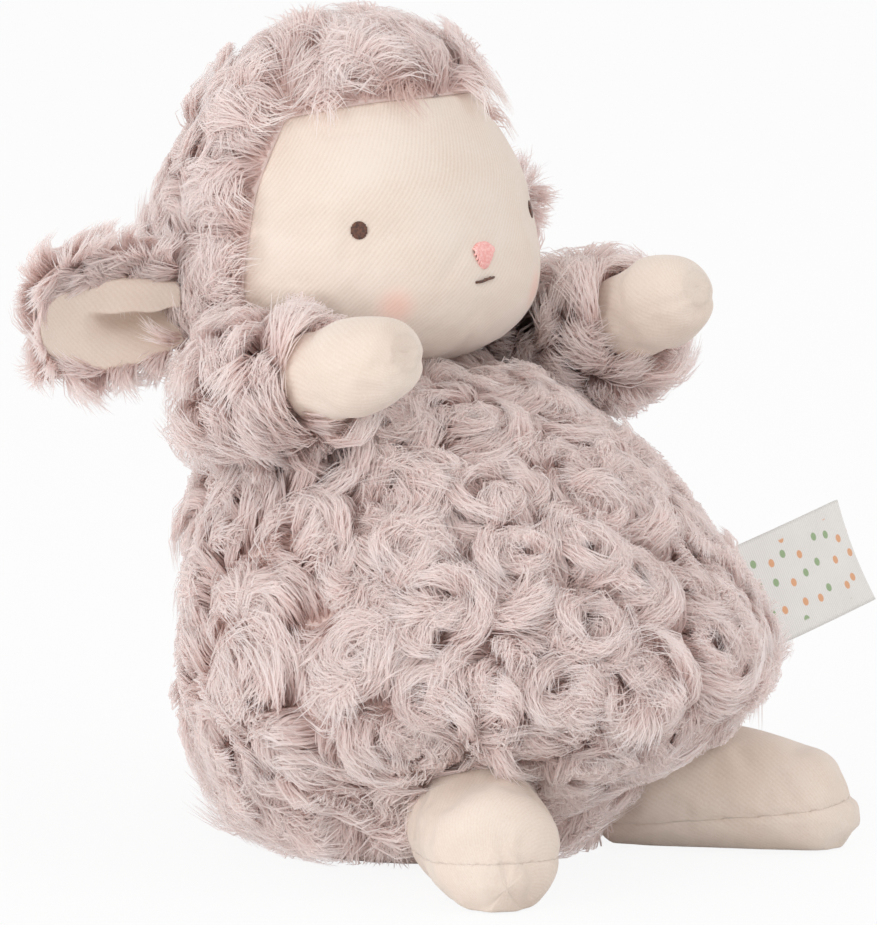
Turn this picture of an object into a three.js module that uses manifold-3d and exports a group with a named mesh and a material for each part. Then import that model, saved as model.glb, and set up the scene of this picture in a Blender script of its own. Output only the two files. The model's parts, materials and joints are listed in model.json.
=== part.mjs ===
// A stuffed plush lamb that sits on a flat seat with its arms held out in front.
// Millimetres, +Z up. The lamb faces -Y and its right side is at -X.
// The origin is the middle of the flat seat, on the surface that the lamb sits on.

import * as THREE from "three";
import { mergeVertices } from "three/addons/utils/BufferGeometryUtils.js";
import Module from "manifold-3d";

const wasm = await Module();
wasm.setup();

// Fabrics, and the gaps between pieces
const PLUSH = 6;
const VELOUR = 2;
const SEAM_GAP = 0.4;
const CLEARANCE = 0.3;
const SWING_GAP = 0.6;

// Body: a reclined pear whose full belly hangs over the front of a flat seat
const SEAT_RADIUS = 34;
const SEAT_PANEL_INSET = 1.5;
const HIP_RADIUS = 46.5;
const HIP_HEIGHT = 10;
const HIP_FORWARD = 2;
const BELLY_RADIUS = 59.5;
const BELLY_HEIGHT = 34;
const BELLY_FORWARD = 15.4;
const CHEST_RADIUS = 47.5;
const CHEST_HEIGHT = 75;
const CHEST_FORWARD = 2.5;
const SHOULDER_RADIUS = 38;
const SHOULDER_HEIGHT = 88;
const SHOULDER_BACK = 3.5;
const BODY_TOP_RADIUS = 16;
const BODY_TOP_HEIGHT = 97;
const BODY_TOP_BACK = 8;
const ROSETTE_SPACING = 17;
const ROSETTE_ROW = 15;
const ROSETTE_STRAY = 0.8;
const HEART_DEPTH = 1.8;
const HEART_REACH = 5;
const GROOVE_DEPTH = 2.6;
const GROOVE_REACH = 6;
const FLEECE_INSET = 0.9;
const SIDE_SEAM_ANGLE = 72;
const SIDE_SEAM_LEAN = 20;
const PELLET_BAG_RADIUS = 40;
const PELLET_BAG_HEIGHT = 20;

// Neck: the stuffing bulges out of the body's neck opening, and the head nods on it
const NECK_RADIUS = 22;
const NECK_HEIGHT = 90;
const NECK_BACK = 10;
const NECK_GAP = 0.9;

// Head: a pear with full cheeks, measured to the backing of its fabric
const HEAD_BACK = 19.5;
const CHIN_RADIUS = 16;
const CHIN_HEIGHT = 95;
const JAW_RADIUS = 36;
const JAW_HEIGHT = 114;
const BROW_RADIUS = 31;
const BROW_HEIGHT = 134;
const CROWN_RADIUS = 20.5;
const CROWN_HEIGHT = 149.5;
const HEAD_TOP_RADIUS = 4;
const HEAD_TOP_HEIGHT = 157.5;
const FACE_HALF_WIDTH = 38;
const FACE_TOP_HEIGHT = 149;
const FACE_DEPTH = 28.5;
const BROW_SQUARENESS = 3.1;

// Embroidery on the face
const EYE_ANGLE = 42;
const EYE_HEIGHT = 124.5;
const EYE_RADIUS = 2.1;
const NOSE_HEIGHT = 118.5;
const NOSE_WIDTH = 5.2;
const NOSE_LENGTH = 5.4;
const MOUTH_HEIGHT = 113.6;
const MOUTH_WIDTH = 5;
const THREAD_RADIUS = 0.45;
const EMBROIDERY_RISE = 0.8;

// Ears: cupped leaves, gathered where they meet the head
const EAR_ANGLE = 97;
const EAR_HEIGHT = 108.5;
const EAR_LENGTH = 36;
const EAR_HALF_WIDTH = 12.5;
const EAR_ROOT_HALF_WIDTH = 6.5;
const EAR_TIP_HALF_WIDTH = 5;
const EAR_CUP = 7;
const EAR_SWEEP = { right: 14, left: 22 };
const EAR_DROOP = { right: 2, left: -6 };
const EAR_PLUSH = 4;
const EAR_SINK = 3;
const LINING_LENGTH = 0.9;
const LINING_TIP = 0.65;
const LINING_LOW = -0.95;
const LINING_HIGH = 0.55;

// Arms: plush sleeves with velour paws
const ARM_ANGLE = 92;
const ARM_HEIGHT = 92;
const ARM_STAND_OFF = 9;
const ARM_RISE = { right: 17, left: 23 };
const SLEEVE_RADIUS = 13.5;
const SLEEVE_LENGTH = { right: 23, left: 28 };
const PAW_RADIUS = 8.8;
const ARM_LENGTH = 45.5;
const PAW_FULLNESS = 1.1;

// Feet: velour uppers on flat-bottomed soles
const FOOT_ANGLE = { right: 33.8, left: 37.3 };
const FOOT_REACH = { right: 30.6, left: 38.9 };
const FOOT_LENGTH = 48;
const FOOT_HALF_WIDTH = 13;
const INSTEP_HEIGHT = { right: 25, left: 23 };
const TOE_HEIGHT = { right: 21, left: 17.5 };
const SOLE_FLATTENED = 2;
const HEEL_SEAM_HEIGHT = 4.5;
const TOE_SEAM_HEIGHT = 9.8;

// Loop label, sewn into the side seam
const LABEL_WIDTH = 22;
const LABEL_LENGTH = 41;
const LABEL_HEIGHT = 43;
const LABEL_LAYER = 0.4;
const LABEL_LOOP = 0.6;
const LABEL_TILT = 10;
const LABEL_SEWN_IN = 4;

// How far each joint turns, in degrees
const NOD_BACK = 10;
const NOD_FORWARD = 3;
const EAR_FLOP = 18;
const ARM_OUT = 25;
const ARM_IN = 8;
const FOOT_TURN = 12;
const LABEL_SWING = 45;

// Facets of the round forms
const SIDES = 24;
const RINGS = 12;
const LIMB_SIDES = 14;
const LIMB_RINGS = 8;
const FLEECE_SIDES = 72;
const FLEECE_RINGS = 36;
const EAR_SIDES = 6;
const STITCH_SIDES = 10;
const STITCH_RINGS = 6;

const REACH = 4 * (BELLY_RADIUS + HEAD_TOP_HEIGHT);
const X_AXIS = new THREE.Vector3(1, 0, 0);
const Y_AXIS = new THREE.Vector3(0, 1, 0);
const Z_AXIS = new THREE.Vector3(0, 0, 1);
const radians = THREE.MathUtils.degToRad;
const between = THREE.MathUtils.lerp;

const PLUSH_COLOUR = 0xd6c0ba;
const VELOUR_COLOUR = 0xf2e6dc;

// A closed geometry as a solid that can be joined and cut
function solid(geometry) {
  const bare = new THREE.BufferGeometry();
  bare.setAttribute("position", geometry.getAttribute("position").clone());
  bare.setIndex(geometry.getIndex());
  const merged = mergeVertices(bare, 1e-4);
  const vertProperties = merged.getAttribute("position").array;
  const triVerts = new Uint32Array(merged.getIndex().array);
  return new wasm.Manifold(new wasm.Mesh({ numProp: 3, vertProperties, triVerts }));
}

// The geometry of a solid
function geometryOf(manifold) {
  const { vertProperties, triVerts } = manifold.getMesh();
  const geometry = new THREE.BufferGeometry();
  geometry.setAttribute("position", new THREE.BufferAttribute(new Float32Array(vertProperties), 3));
  geometry.setIndex(new THREE.BufferAttribute(new Uint32Array(triVerts), 1));
  geometry.computeVertexNormals();
  return geometry;
}

// A list made by counting from nought
const counted = (length, make) => Array.from({ length }, (_, index) => make(index));

// A tube through rings of points, all wound the same way, with both ends closed by a fan
function ringsGeometry(rings) {
  const sides = rings[0].length;
  const points = rings.flat();
  const faces = [];
  for (let ring = 0; ring + 1 < rings.length; ring++) {
    for (let side = 0; side < sides; side++) {
      const here = ring * sides + side;
      const beside = ring * sides + ((side + 1) % sides);
      faces.push(here, beside, beside + sides, here, beside + sides, here + sides);
    }
  }
  const middle = (ring) => ring.reduce((sum, p) => sum.add(p), new THREE.Vector3()).divideScalar(sides);
  const first = points.push(middle(rings[0])) - 1;
  const last = points.push(middle(rings.at(-1))) - 1;
  const end = (rings.length - 1) * sides;
  for (let side = 0; side < sides; side++) {
    const next = (side + 1) % sides;
    faces.push(first, next, side, last, end + side, end + next);
  }
  return new THREE.BufferGeometry().setFromPoints(points).setIndex(faces);
}

// A stuffed form: ellipses strung along local +Z, with their middles shifted along local +Y.
// Each station is { along, across, deep, shift }: its place, half width, half depth and shift.
class StuffedForm {
  constructor(stations, sides, rings, placing = new THREE.Matrix4()) {
    const curve = (points) => new THREE.CatmullRomCurve3(points, false, "catmullrom", 0.5);
    this.sizes = curve(stations.map((s) => new THREE.Vector3(s.across, s.deep, s.along)));
    this.shifts = curve(stations.map((s) => new THREE.Vector3(0, s.shift, s.along)));
    this.low = stations[0].along;
    this.high = stations.at(-1).along;
    this.sides = sides;
    this.rings = rings;
    this.placing = placing;
  }

  // A point at a share of the form's length and an angle round it, on the form grown all over.
  // Angle 0 faces local -Y and grows towards local +X.
  point(share, angle, grow) {
    const size = this.sizes.getPoint(share);
    const stretch = 1 + (2 * grow) / (this.high - this.low);
    const x = (size.x + grow) * Math.sin(angle);
    const y = this.shifts.getPoint(share).y - (size.y + grow) * Math.cos(angle);
    const z = this.low - grow + (size.z - this.low) * stretch;
    return new THREE.Vector3(x, y, z).applyMatrix4(this.placing);
  }

  geometry(grow = 0) {
    const angle = (side) => (side / this.sides) * 2 * Math.PI;
    const ring = (share) => counted(this.sides, (side) => this.point(share, angle(side), grow));
    return ringsGeometry(counted(this.rings + 1, (ringIndex) => ring(ringIndex / this.rings)));
  }

  solid(grow = 0) {
    return solid(this.geometry(grow));
  }

  // The place on the grown form at a height and an angle in degrees, and the way out from it
  seat(height, degrees, grow = 0) {
    const angle = radians(degrees);
    let low = 0;
    let high = 1;
    for (let halving = 0; halving < 40; halving++) {
      const share = (low + high) / 2;
      if (this.point(share, angle, grow).z < height) low = share;
      else high = share;
    }
    const step = 1e-3;
    const at = this.point(low, angle, grow);
    const up = this.point(low + step, angle, grow).sub(at);
    const round = this.point(low, angle + step, grow).sub(at);
    return { at, out: round.cross(up).normalize() };
  }
}

// An extrusion whose corners are shared by the faces that meet there
function extruded(shape, settings) {
  const geometry = new THREE.ExtrudeGeometry(shape, settings);
  geometry.deleteAttribute("normal");
  geometry.deleteAttribute("uv");
  return mergeVertices(geometry);
}

// A matrix that stands local axes on a point
const standing = (at, x, y, z) => new THREE.Matrix4().makeBasis(x, y, z).setPosition(at);

// Half of space: everything on the far side of a plane, the way its normal points
function halfSpace(at, normal) {
  const turn = new THREE.Quaternion().setFromUnitVectors(Z_AXIS, normal.clone().normalize());
  const box = new THREE.BoxGeometry(REACH, REACH, REACH).translate(0, 0, REACH / 2);
  return solid(box.applyQuaternion(turn).translate(at.x, at.y, at.z));
}

// A geometry turned about an axis through a pivot
function turned(geometry, pivot, axis, degrees) {
  const turn = new THREE.Matrix4().makeRotationAxis(axis, radians(degrees));
  const home = geometry.clone().translate(-pivot.x, -pivot.y, -pivot.z);
  return home.applyMatrix4(turn).translate(pivot.x, pivot.y, pivot.z);
}

// Four poses of a geometry from one limit of a joint to the other
function poses(geometry, pivot, axis, low, high) {
  const turns = [low, between(low, high, 1 / 3), between(low, high, 2 / 3), high];
  return turns.map((degrees) => turned(geometry, pivot, axis, degrees));
}

// All the room that some geometries take, as one solid
const room = (geometries) => geometries.map(solid).reduce((whole, next) => whole.add(next));

// The mirror image of a geometry across the middle of the lamb
function mirrored(geometry) {
  const image = geometry.clone().scale(-1, 1, 1);
  const corners = Array.from(image.getIndex().array);
  for (let i = 0; i < corners.length; i += 3) [corners[i], corners[i + 1]] = [corners[i + 1], corners[i]];
  return image.setIndex(corners);
}

// The two sides of the seam down the middle of the back
const leftHalf = halfSpace(new THREE.Vector3(SEAM_GAP / 2, 0, 0), X_AXIS);
const rightHalf = halfSpace(new THREE.Vector3(-SEAM_GAP / 2, 0, 0), X_AXIS.clone().negate());

const lamb = new THREE.Group();

// A group whose origin is the joint that its pieces turn about
function jointGroup(parent, pivot) {
  const group = new THREE.Group();
  group.position.copy(pivot);
  parent.worldToLocal(group.position);
  parent.add(group);
  group.updateMatrixWorld(true);
  return group;
}

// A named piece, modelled in the lamb's frame and hung in its group
function piece(group, name, manifold, color, roughness) {
  const material = new THREE.MeshStandardMaterial({ color, roughness, metalness: 0 });
  const geometry = geometryOf(manifold);
  const home = new THREE.Vector3().setFromMatrixPosition(group.matrixWorld);
  geometry.translate(-home.x, -home.y, -home.z);
  const mesh = new THREE.Mesh(geometry, material);
  mesh.name = name;
  group.add(mesh);
}

const plush = (group, name, manifold) => piece(group, name, manifold, PLUSH_COLOUR, 0.95);
const velour = (group, name, manifold) => piece(group, name, manifold, VELOUR_COLOUR, 0.85);
const fibre = (group, name, manifold) => piece(group, name, manifold, 0xf7f7f2, 1);
const thread = (group, name, manifold, color) => piece(group, name, manifold, color, 0.55);

// A round station, and one between two others: so far along, and swelled so far towards the second
const round = (along, radius, shift) => ({ along, across: radius, deep: radius, shift });
const fill = (from, to, along, swell) =>
  round(
    between(from.along, to.along, along),
    between(from.across, to.across, swell),
    between(from.shift, to.shift, swell),
  );

// The body
const seatStation = round(0, SEAT_RADIUS, 0);
const hip = round(HIP_HEIGHT, HIP_RADIUS, -HIP_FORWARD);
const belly = round(BELLY_HEIGHT, BELLY_RADIUS, -BELLY_FORWARD);
const chest = round(CHEST_HEIGHT, CHEST_RADIUS, -CHEST_FORWARD);
const shoulders = round(SHOULDER_HEIGHT, SHOULDER_RADIUS, SHOULDER_BACK);
const bodyTop = round(BODY_TOP_HEIGHT, BODY_TOP_RADIUS, BODY_TOP_BACK);
const bodyForm = new StuffedForm(
  [
    seatStation,
    fill(seatStation, hip, 0.3, 0.6),
    hip,
    fill(hip, belly, 0.45, 0.5),
    belly,
    fill(belly, chest, 0.34, 0.13),
    fill(belly, chest, 0.68, 0.5),
    chest,
    shoulders,
    fill(shoulders, bodyTop, 0.75, 0.5),
    bodyTop,
  ],
  SIDES,
  RINGS,
);
const neck = new THREE.Vector3(0, NECK_BACK, NECK_HEIGHT);
const ankleOn = (way) => bodyForm.seat(HIP_HEIGHT, way * FOOT_ANGLE[way < 0 ? "right" : "left"]).at;
const shoulderOn = (way) => bodyForm.seat(ARM_HEIGHT, way * ARM_ANGLE).at;

// A number from 0 to 1 that looks thrown, the same each time
function chance(seed) {
  const value = Math.sin(seed * 12.9898) * 43758.5453;
  return value - Math.floor(value);
}

// The hearts of the body's rosettes: staggered rows, each heart a little off its row
function rosetteHearts() {
  const samples = 400;
  const run = [0];
  for (let sample = 1; sample <= samples; sample++) {
    const [before, here] = [sample - 1, sample].map((s) => bodyForm.point(s / samples, Math.PI / 2, 0));
    run.push(run.at(-1) + here.distanceTo(before));
  }
  const shareAt = (length) => {
    const next = Math.min(Math.max(run.findIndex((r) => r >= length), 1), samples);
    return (next - 1 + (length - run[next - 1]) / (run[next] - run[next - 1])) / samples;
  };
  const rows = Math.round(run.at(-1) / ROSETTE_ROW);
  const along = (row) => shareAt((row / rows) * run.at(-1));
  const row = (index) => {
    const girth = 2 * Math.PI * bodyForm.sizes.getPoint(along(index + 0.5)).x;
    const around = Math.max(5, Math.round(girth / ROSETTE_SPACING));
    return counted(around, (place) => {
      const seed = index * 97 + place + 1;
      const off = ROSETTE_STRAY * (chance(seed) - 0.5);
      const turn = place + (index % 2) / 2 + ROSETTE_STRAY * (chance(seed + 0.5) - 0.5);
      return bodyForm.point(along(index + 0.5 + off), (turn / around) * 2 * Math.PI, 0);
    });
  };
  return counted(rows, row).flat();
}

// The outside of the body: rosettes with hollow hearts and grooves between them, smooth beside its neighbours
function fleeceGeometry() {
  const hearts = rosetteHearts();
  const smooth = THREE.MathUtils.smoothstep;
  const flat = [ankleOn(-1), ankleOn(1), shoulderOn(-1), shoulderOn(1), sideSeam.at];
  const depth = (at) => {
    const away = hearts.map((heart) => heart.distanceTo(at)).sort((a, b) => a - b);
    const groove = GROOVE_DEPTH * (1 - smooth(away[1] - away[0], 0, GROOVE_REACH));
    const hollow = HEART_DEPTH * (1 - smooth(away[0], 0, HEART_REACH));
    const free = flat.map((spot) => smooth(spot.distanceTo(at), SLEEVE_RADIUS, 2 * SLEEVE_RADIUS));
    const open = smooth(at.z, 0, HIP_HEIGHT) * (1 - smooth(at.z, CHEST_HEIGHT, SHOULDER_HEIGHT));
    const inset = FLEECE_INSET * smooth(at.z, 0, HIP_HEIGHT / 3);
    return inset + (groove + hollow) * open * Math.min(...free);
  };
  const place = (share, side) => {
    const angle = (side / FLEECE_SIDES) * 2 * Math.PI;
    return bodyForm.point(share, angle, -depth(bodyForm.point(share, angle, 0)));
  };
  const ring = (share) => counted(FLEECE_SIDES, (side) => place(share, side));
  return ringsGeometry(counted(FLEECE_RINGS + 1, (index) => ring(index / FLEECE_RINGS)));
}

const neckBall = (grow) => {
  const ball = new THREE.SphereGeometry(NECK_RADIUS + grow, LIMB_SIDES, LIMB_RINGS);
  return ball.rotateX(Math.PI / 2).translate(...neck);
};

const sideSeam = bodyForm.seat(LABEL_HEIGHT, SIDE_SEAM_ANGLE);
const seamUp = new THREE.Vector3(0, Math.sin(radians(SIDE_SEAM_LEAN)), Math.cos(radians(SIDE_SEAM_LEAN)));
const seamFront = new THREE.Vector3().crossVectors(seamUp, X_AXIS).negate();

function buildBody() {
  const seatDisc = (radius) => {
    const height = HIP_HEIGHT;
    return solid(new THREE.CylinderGeometry(radius, radius, 2 * height, SIDES).rotateX(Math.PI / 2));
  };
  const panelRadius = SEAT_RADIUS - SEAT_PANEL_INSET;
  const skin = solid(fleeceGeometry()).subtract(bodyForm.solid(-PLUSH));
  const shell = skin.subtract(solid(neckBall(CLEARANCE)));
  const wall = shell.subtract(seatDisc(panelRadius + SEAM_GAP));
  const offset = (way) => sideSeam.at.clone().addScaledVector(seamFront, (way * SEAM_GAP) / 2);
  const back = wall.intersect(halfSpace(offset(-1), seamFront.clone().negate()));
  plush(lamb, "body_front", wall.intersect(halfSpace(offset(1), seamFront)));
  plush(lamb, "body_back_right", back.intersect(rightHalf));
  plush(lamb, "body_back_left", back.intersect(leftHalf));
  velour(lamb, "base_panel", shell.intersect(seatDisc(panelRadius)));

  const inside = bodyForm.solid(-PLUSH - CLEARANCE).add(solid(neckBall(0)));
  const bagFloor = PLUSH + CLEARANCE;
  const bagForm = new StuffedForm(
    [
      round(bagFloor - PELLET_BAG_HEIGHT / 2, PELLET_BAG_RADIUS * 0.5, 0),
      round(bagFloor, PELLET_BAG_RADIUS * 0.85, 0),
      round(bagFloor + PELLET_BAG_HEIGHT * 0.45, PELLET_BAG_RADIUS, 0),
      round(bagFloor + PELLET_BAG_HEIGHT * 0.8, PELLET_BAG_RADIUS * 0.8, 0),
      round(bagFloor + PELLET_BAG_HEIGHT, PELLET_BAG_RADIUS * 0.4, 0),
    ],
    LIMB_SIDES,
    LIMB_RINGS,
  );
  piece(lamb, "pellet_bag", bagForm.solid().intersect(inside), 0xe6e2d8, 0.9);
  fibre(lamb, "body_stuffing", inside.subtract(bagForm.solid(CLEARANCE)));
}

// The head, which nods on the neck
const chin = round(CHIN_HEIGHT, CHIN_RADIUS, HEAD_BACK);
const jaw = round(JAW_HEIGHT, JAW_RADIUS, HEAD_BACK);
const brow = round(BROW_HEIGHT, BROW_RADIUS, HEAD_BACK);
const crown = round(CROWN_HEIGHT, CROWN_RADIUS, HEAD_BACK);
const headTop = round(HEAD_TOP_HEIGHT, HEAD_TOP_RADIUS, HEAD_BACK);
const headForm = new StuffedForm(
  [
    chin,
    fill(chin, jaw, 0.27, 0.58),
    fill(chin, jaw, 0.62, 0.92),
    jaw,
    fill(jaw, brow, 0.5, 0.34),
    brow,
    crown,
    fill(crown, headTop, 0.75, 0.5),
    headTop,
  ],
  SIDES,
  RINGS,
);

// Where the face shows: straight cheeks under a squared brow line, open at the front
function faceWindow(grow) {
  const half = FACE_HALF_WIDTH + grow;
  const squared = (share) => Math.sign(share) * Math.abs(share) ** (2 / BROW_SQUARENESS);
  const brow = counted(SIDES + 1, (index) => {
    const angle = (index / SIDES) * Math.PI;
    const rise = squared(Math.sin(angle)) * (FACE_TOP_HEIGHT + grow - JAW_HEIGHT);
    return new THREE.Vector2(half * squared(Math.cos(angle)), JAW_HEIGHT + rise);
  });
  const outline = new THREE.Shape();
  outline.moveTo(-half, CHIN_HEIGHT - REACH);
  outline.lineTo(half, CHIN_HEIGHT - REACH);
  for (const { x, y } of brow) outline.lineTo(x, y);
  outline.closePath();
  const slab = extruded(outline, { depth: REACH, bevelEnabled: false, curveSegments: SIDES });
  const back = HEAD_BACK - JAW_RADIUS + FACE_DEPTH + grow;
  return solid(slab.rotateX(Math.PI / 2).translate(0, back, 0));
}

const nodPoses = (geometry) =>
  [-NOD_BACK, 0, NOD_FORWARD].map((degrees) => turned(geometry, neck, X_AXIS, degrees));

function buildHead(head) {
  const torso = poses(bodyForm.geometry(SWING_GAP), neck, X_AXIS, -NOD_FORWARD, NOD_BACK);
  const torsoRoom = room([...torso, neckBall(NECK_GAP)]);
  const backing = headForm.solid();
  const plushShell = headForm.solid(PLUSH).subtract(backing);
  const hood = plushShell.subtract(faceWindow(SEAM_GAP)).subtract(torsoRoom);
  plush(head, "hood_right", hood.intersect(rightHalf));
  plush(head, "hood_left", hood.intersect(leftHalf));
  const face = headForm.solid(VELOUR).subtract(backing).intersect(faceWindow(0));
  velour(head, "face", face.subtract(torsoRoom));
  fibre(head, "head_stuffing", headForm.solid(-CLEARANCE).subtract(torsoRoom));
}

// The axes of a patch of embroidery: across the face, up the face and out from it
function stitchedAxes({ at, out }) {
  const across = new THREE.Vector3().crossVectors(Z_AXIS, out).normalize();
  return standing(at, across, new THREE.Vector3().crossVectors(out, across), out);
}

function buildEmbroidery(head) {
  const facing = headForm.solid(VELOUR + CLEARANCE);
  const dome = new THREE.SphereGeometry(EYE_RADIUS, STITCH_SIDES, STITCH_RINGS);
  const flat = (EMBROIDERY_RISE + CLEARANCE) / EYE_RADIUS;
  for (const [name, angle] of [["right_eye", -EYE_ANGLE], ["left_eye", EYE_ANGLE]]) {
    const place = stitchedAxes(headForm.seat(EYE_HEIGHT, angle, VELOUR));
    const eye = dome.clone().scale(1, 1, flat).applyMatrix4(place);
    thread(head, name, solid(eye).subtract(facing), 0x5f3524);
  }

  const outline = new THREE.Shape();
  outline.moveTo(-NOSE_WIDTH / 2, NOSE_LENGTH * 0.3);
  outline.quadraticCurveTo(-NOSE_WIDTH / 2, NOSE_LENGTH / 2, -NOSE_WIDTH * 0.25, NOSE_LENGTH / 2);
  outline.lineTo(NOSE_WIDTH * 0.25, NOSE_LENGTH / 2);
  outline.quadraticCurveTo(NOSE_WIDTH / 2, NOSE_LENGTH / 2, NOSE_WIDTH / 2, NOSE_LENGTH * 0.3);
  outline.lineTo(NOSE_WIDTH * 0.16, -NOSE_LENGTH * 0.4);
  outline.quadraticCurveTo(0, -NOSE_LENGTH * 0.6, -NOSE_WIDTH * 0.16, -NOSE_LENGTH * 0.4);
  outline.closePath();
  const thick = 2 * (EMBROIDERY_RISE + CLEARANCE);
  const slab = extruded(outline, { depth: thick, bevelEnabled: false, curveSegments: 4 });
  const nosePlace = stitchedAxes(headForm.seat(NOSE_HEIGHT, 0, VELOUR));
  const nose = slab.translate(0, 0, -thick / 2).applyMatrix4(nosePlace);
  thread(head, "nose", solid(nose).subtract(facing), 0xf7b5af);

  const lift = THREAD_RADIUS + CLEARANCE;
  const halfAngle = THREE.MathUtils.radToDeg(MOUTH_WIDTH / 2 / (JAW_RADIUS + VELOUR));
  const stitch = [-1, -0.5, 0, 0.5, 1].map((share) => {
    const { at, out } = headForm.seat(MOUTH_HEIGHT, share * halfAngle, VELOUR);
    return at.addScaledVector(out, lift);
  });
  const section = new THREE.Shape().absarc(0, 0, THREAD_RADIUS, 0, 2 * Math.PI);
  const path = new THREE.CatmullRomCurve3(stitch);
  const mouth = extruded(section, { extrudePath: path, steps: 4, curveSegments: STITCH_RINGS });
  thread(head, "mouth", solid(mouth), 0x7d4f40);
}

// Ears: a leaf between two lifts off its middle, over a share of the length and from edge to edge
function earLeaf(nearSide, farSide, length = 1, tip = 1, low = -1, high = 1) {
  const widths = new THREE.SplineCurve([
    new THREE.Vector2(0, EAR_ROOT_HALF_WIDTH),
    new THREE.Vector2(EAR_LENGTH * 0.2, between(EAR_ROOT_HALF_WIDTH, EAR_HALF_WIDTH, 0.6)),
    new THREE.Vector2(EAR_LENGTH * 0.48, EAR_HALF_WIDTH),
    new THREE.Vector2(EAR_LENGTH * 0.72, EAR_HALF_WIDTH * 0.97),
    new THREE.Vector2(EAR_LENGTH * 0.9, EAR_HALF_WIDTH * 0.74),
    new THREE.Vector2(EAR_LENGTH, EAR_TIP_HALF_WIDTH),
  ]);
  const across = counted(EAR_SIDES + 1, (index) => between(low, high, index / EAR_SIDES));
  const middle = (low + high) / 2;
  const ring = (share) => {
    const { x, y: half } = widths.getPoint(share * length);
    const cup = EAR_CUP * (half / EAR_HALF_WIDTH) * (1 - 0.5 * share * length);
    const edge = (side, lift) => new THREE.Vector3(x, cup * (1 - side * side) + lift, side * half);
    const narrowed = across.map((side) => between(middle, side, between(1, tip, share ** 3)));
    const near = narrowed.map((side) => edge(side, nearSide)).reverse();
    const far = narrowed.map((side) => edge(side, farSide));
    return [...near, ...far];
  };
  return ringsGeometry(counted(LIMB_RINGS + 1, (ringIndex) => ring(ringIndex / LIMB_RINGS)));
}

const hoodGeometry = headForm.geometry(PLUSH + SWING_GAP);

function buildEar(head, side) {
  const { at, out } = headForm.seat(EAR_HEIGHT, EAR_ANGLE, PLUSH);
  const root = at.clone().addScaledVector(out, -EAR_SINK);
  const place = (geometry) => {
    const laid = geometry.rotateY(radians(EAR_DROOP[side])).rotateZ(radians(EAR_SWEEP[side])).translate(...root);
    return side === "left" ? laid : mirrored(laid);
  };
  const pivot = side === "left" ? at : at.clone().setX(-at.x);
  const headRoom = room(poses(hoodGeometry, pivot, Y_AXIS, -EAR_FLOP, EAR_FLOP));
  const group = jointGroup(head, pivot);
  const lining = earLeaf(
    -VELOUR - CLEARANCE / 2,
    -CLEARANCE / 2,
    LINING_LENGTH,
    LINING_TIP,
    LINING_LOW,
    LINING_HIGH,
  );
  const outer = earLeaf(CLEARANCE / 2, EAR_PLUSH + CLEARANCE / 2);
  plush(group, `${side}_ear_outer`, solid(place(outer)).subtract(headRoom));
  velour(group, `${side}_ear_lining`, solid(place(lining)).subtract(headRoom));
}

// Arms, which swing on their shoulder seams
function buildArm(side) {
  const way = side === "left" ? 1 : -1;
  const seat = bodyForm.seat(ARM_HEIGHT, ARM_ANGLE * way);
  const shoulder = seat.at.clone().addScaledVector(X_AXIS, way * ARM_STAND_OFF);
  const rise = radians(ARM_RISE[side]);
  const forward = new THREE.Vector3(0, -Math.cos(rise), Math.sin(rise));
  const up = new THREE.Vector3(0, Math.sin(rise), Math.cos(rise));
  const placing = standing(shoulder, X_AXIS, up, forward);
  const coreRadius = PAW_RADIUS - VELOUR;
  const tip = ARM_LENGTH - VELOUR;
  const cuff = SLEEVE_LENGTH[side];
  const form = (stations) => new StuffedForm(stations, LIMB_SIDES, LIMB_RINGS, placing);
  const core = form([
    round(-coreRadius, coreRadius * 0.4, 0),
    round(-coreRadius * 0.6, coreRadius * 0.8, 0),
    round(0, coreRadius, 0),
    round(cuff, coreRadius, 0),
    round(between(cuff, tip, 0.4), coreRadius * PAW_FULLNESS, 0),
    round(tip - coreRadius * 0.4, coreRadius * 0.78, 0),
    round(tip, coreRadius * 0.3, 0),
  ]);
  const sleeveForm = form([
    round(-SLEEVE_RADIUS, SLEEVE_RADIUS * 0.35, 0),
    round(-SLEEVE_RADIUS * 0.7, SLEEVE_RADIUS * 0.78, 0),
    round(0, SLEEVE_RADIUS, 0),
    round(cuff * 0.6, SLEEVE_RADIUS, 0),
    round(cuff, SLEEVE_RADIUS * 0.85, 0),
  ]);
  const pastCuff = halfSpace(shoulder.clone().addScaledVector(forward, cuff + SEAM_GAP), forward);

  const stops = way > 0 ? [-ARM_IN, ARM_OUT] : [-ARM_OUT, ARM_IN];
  const unturned = (geometry) => poses(geometry, shoulder, Z_AXIS, -stops[1], -stops[0]);
  const neighbours = [bodyForm.geometry(SWING_GAP), ...nodPoses(hoodGeometry)];
  const taken = room(neighbours.flatMap(unturned));
  const group = jointGroup(lamb, shoulder);
  plush(group, `${side}_arm_sleeve`, sleeveForm.solid().subtract(core.solid()).subtract(taken));
  const paw = core.solid(VELOUR).subtract(core.solid()).intersect(pastCuff);
  velour(group, `${side}_paw`, paw.subtract(taken));
  fibre(group, `${side}_arm_stuffing`, core.solid(-CLEARANCE).subtract(taken));
}

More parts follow.
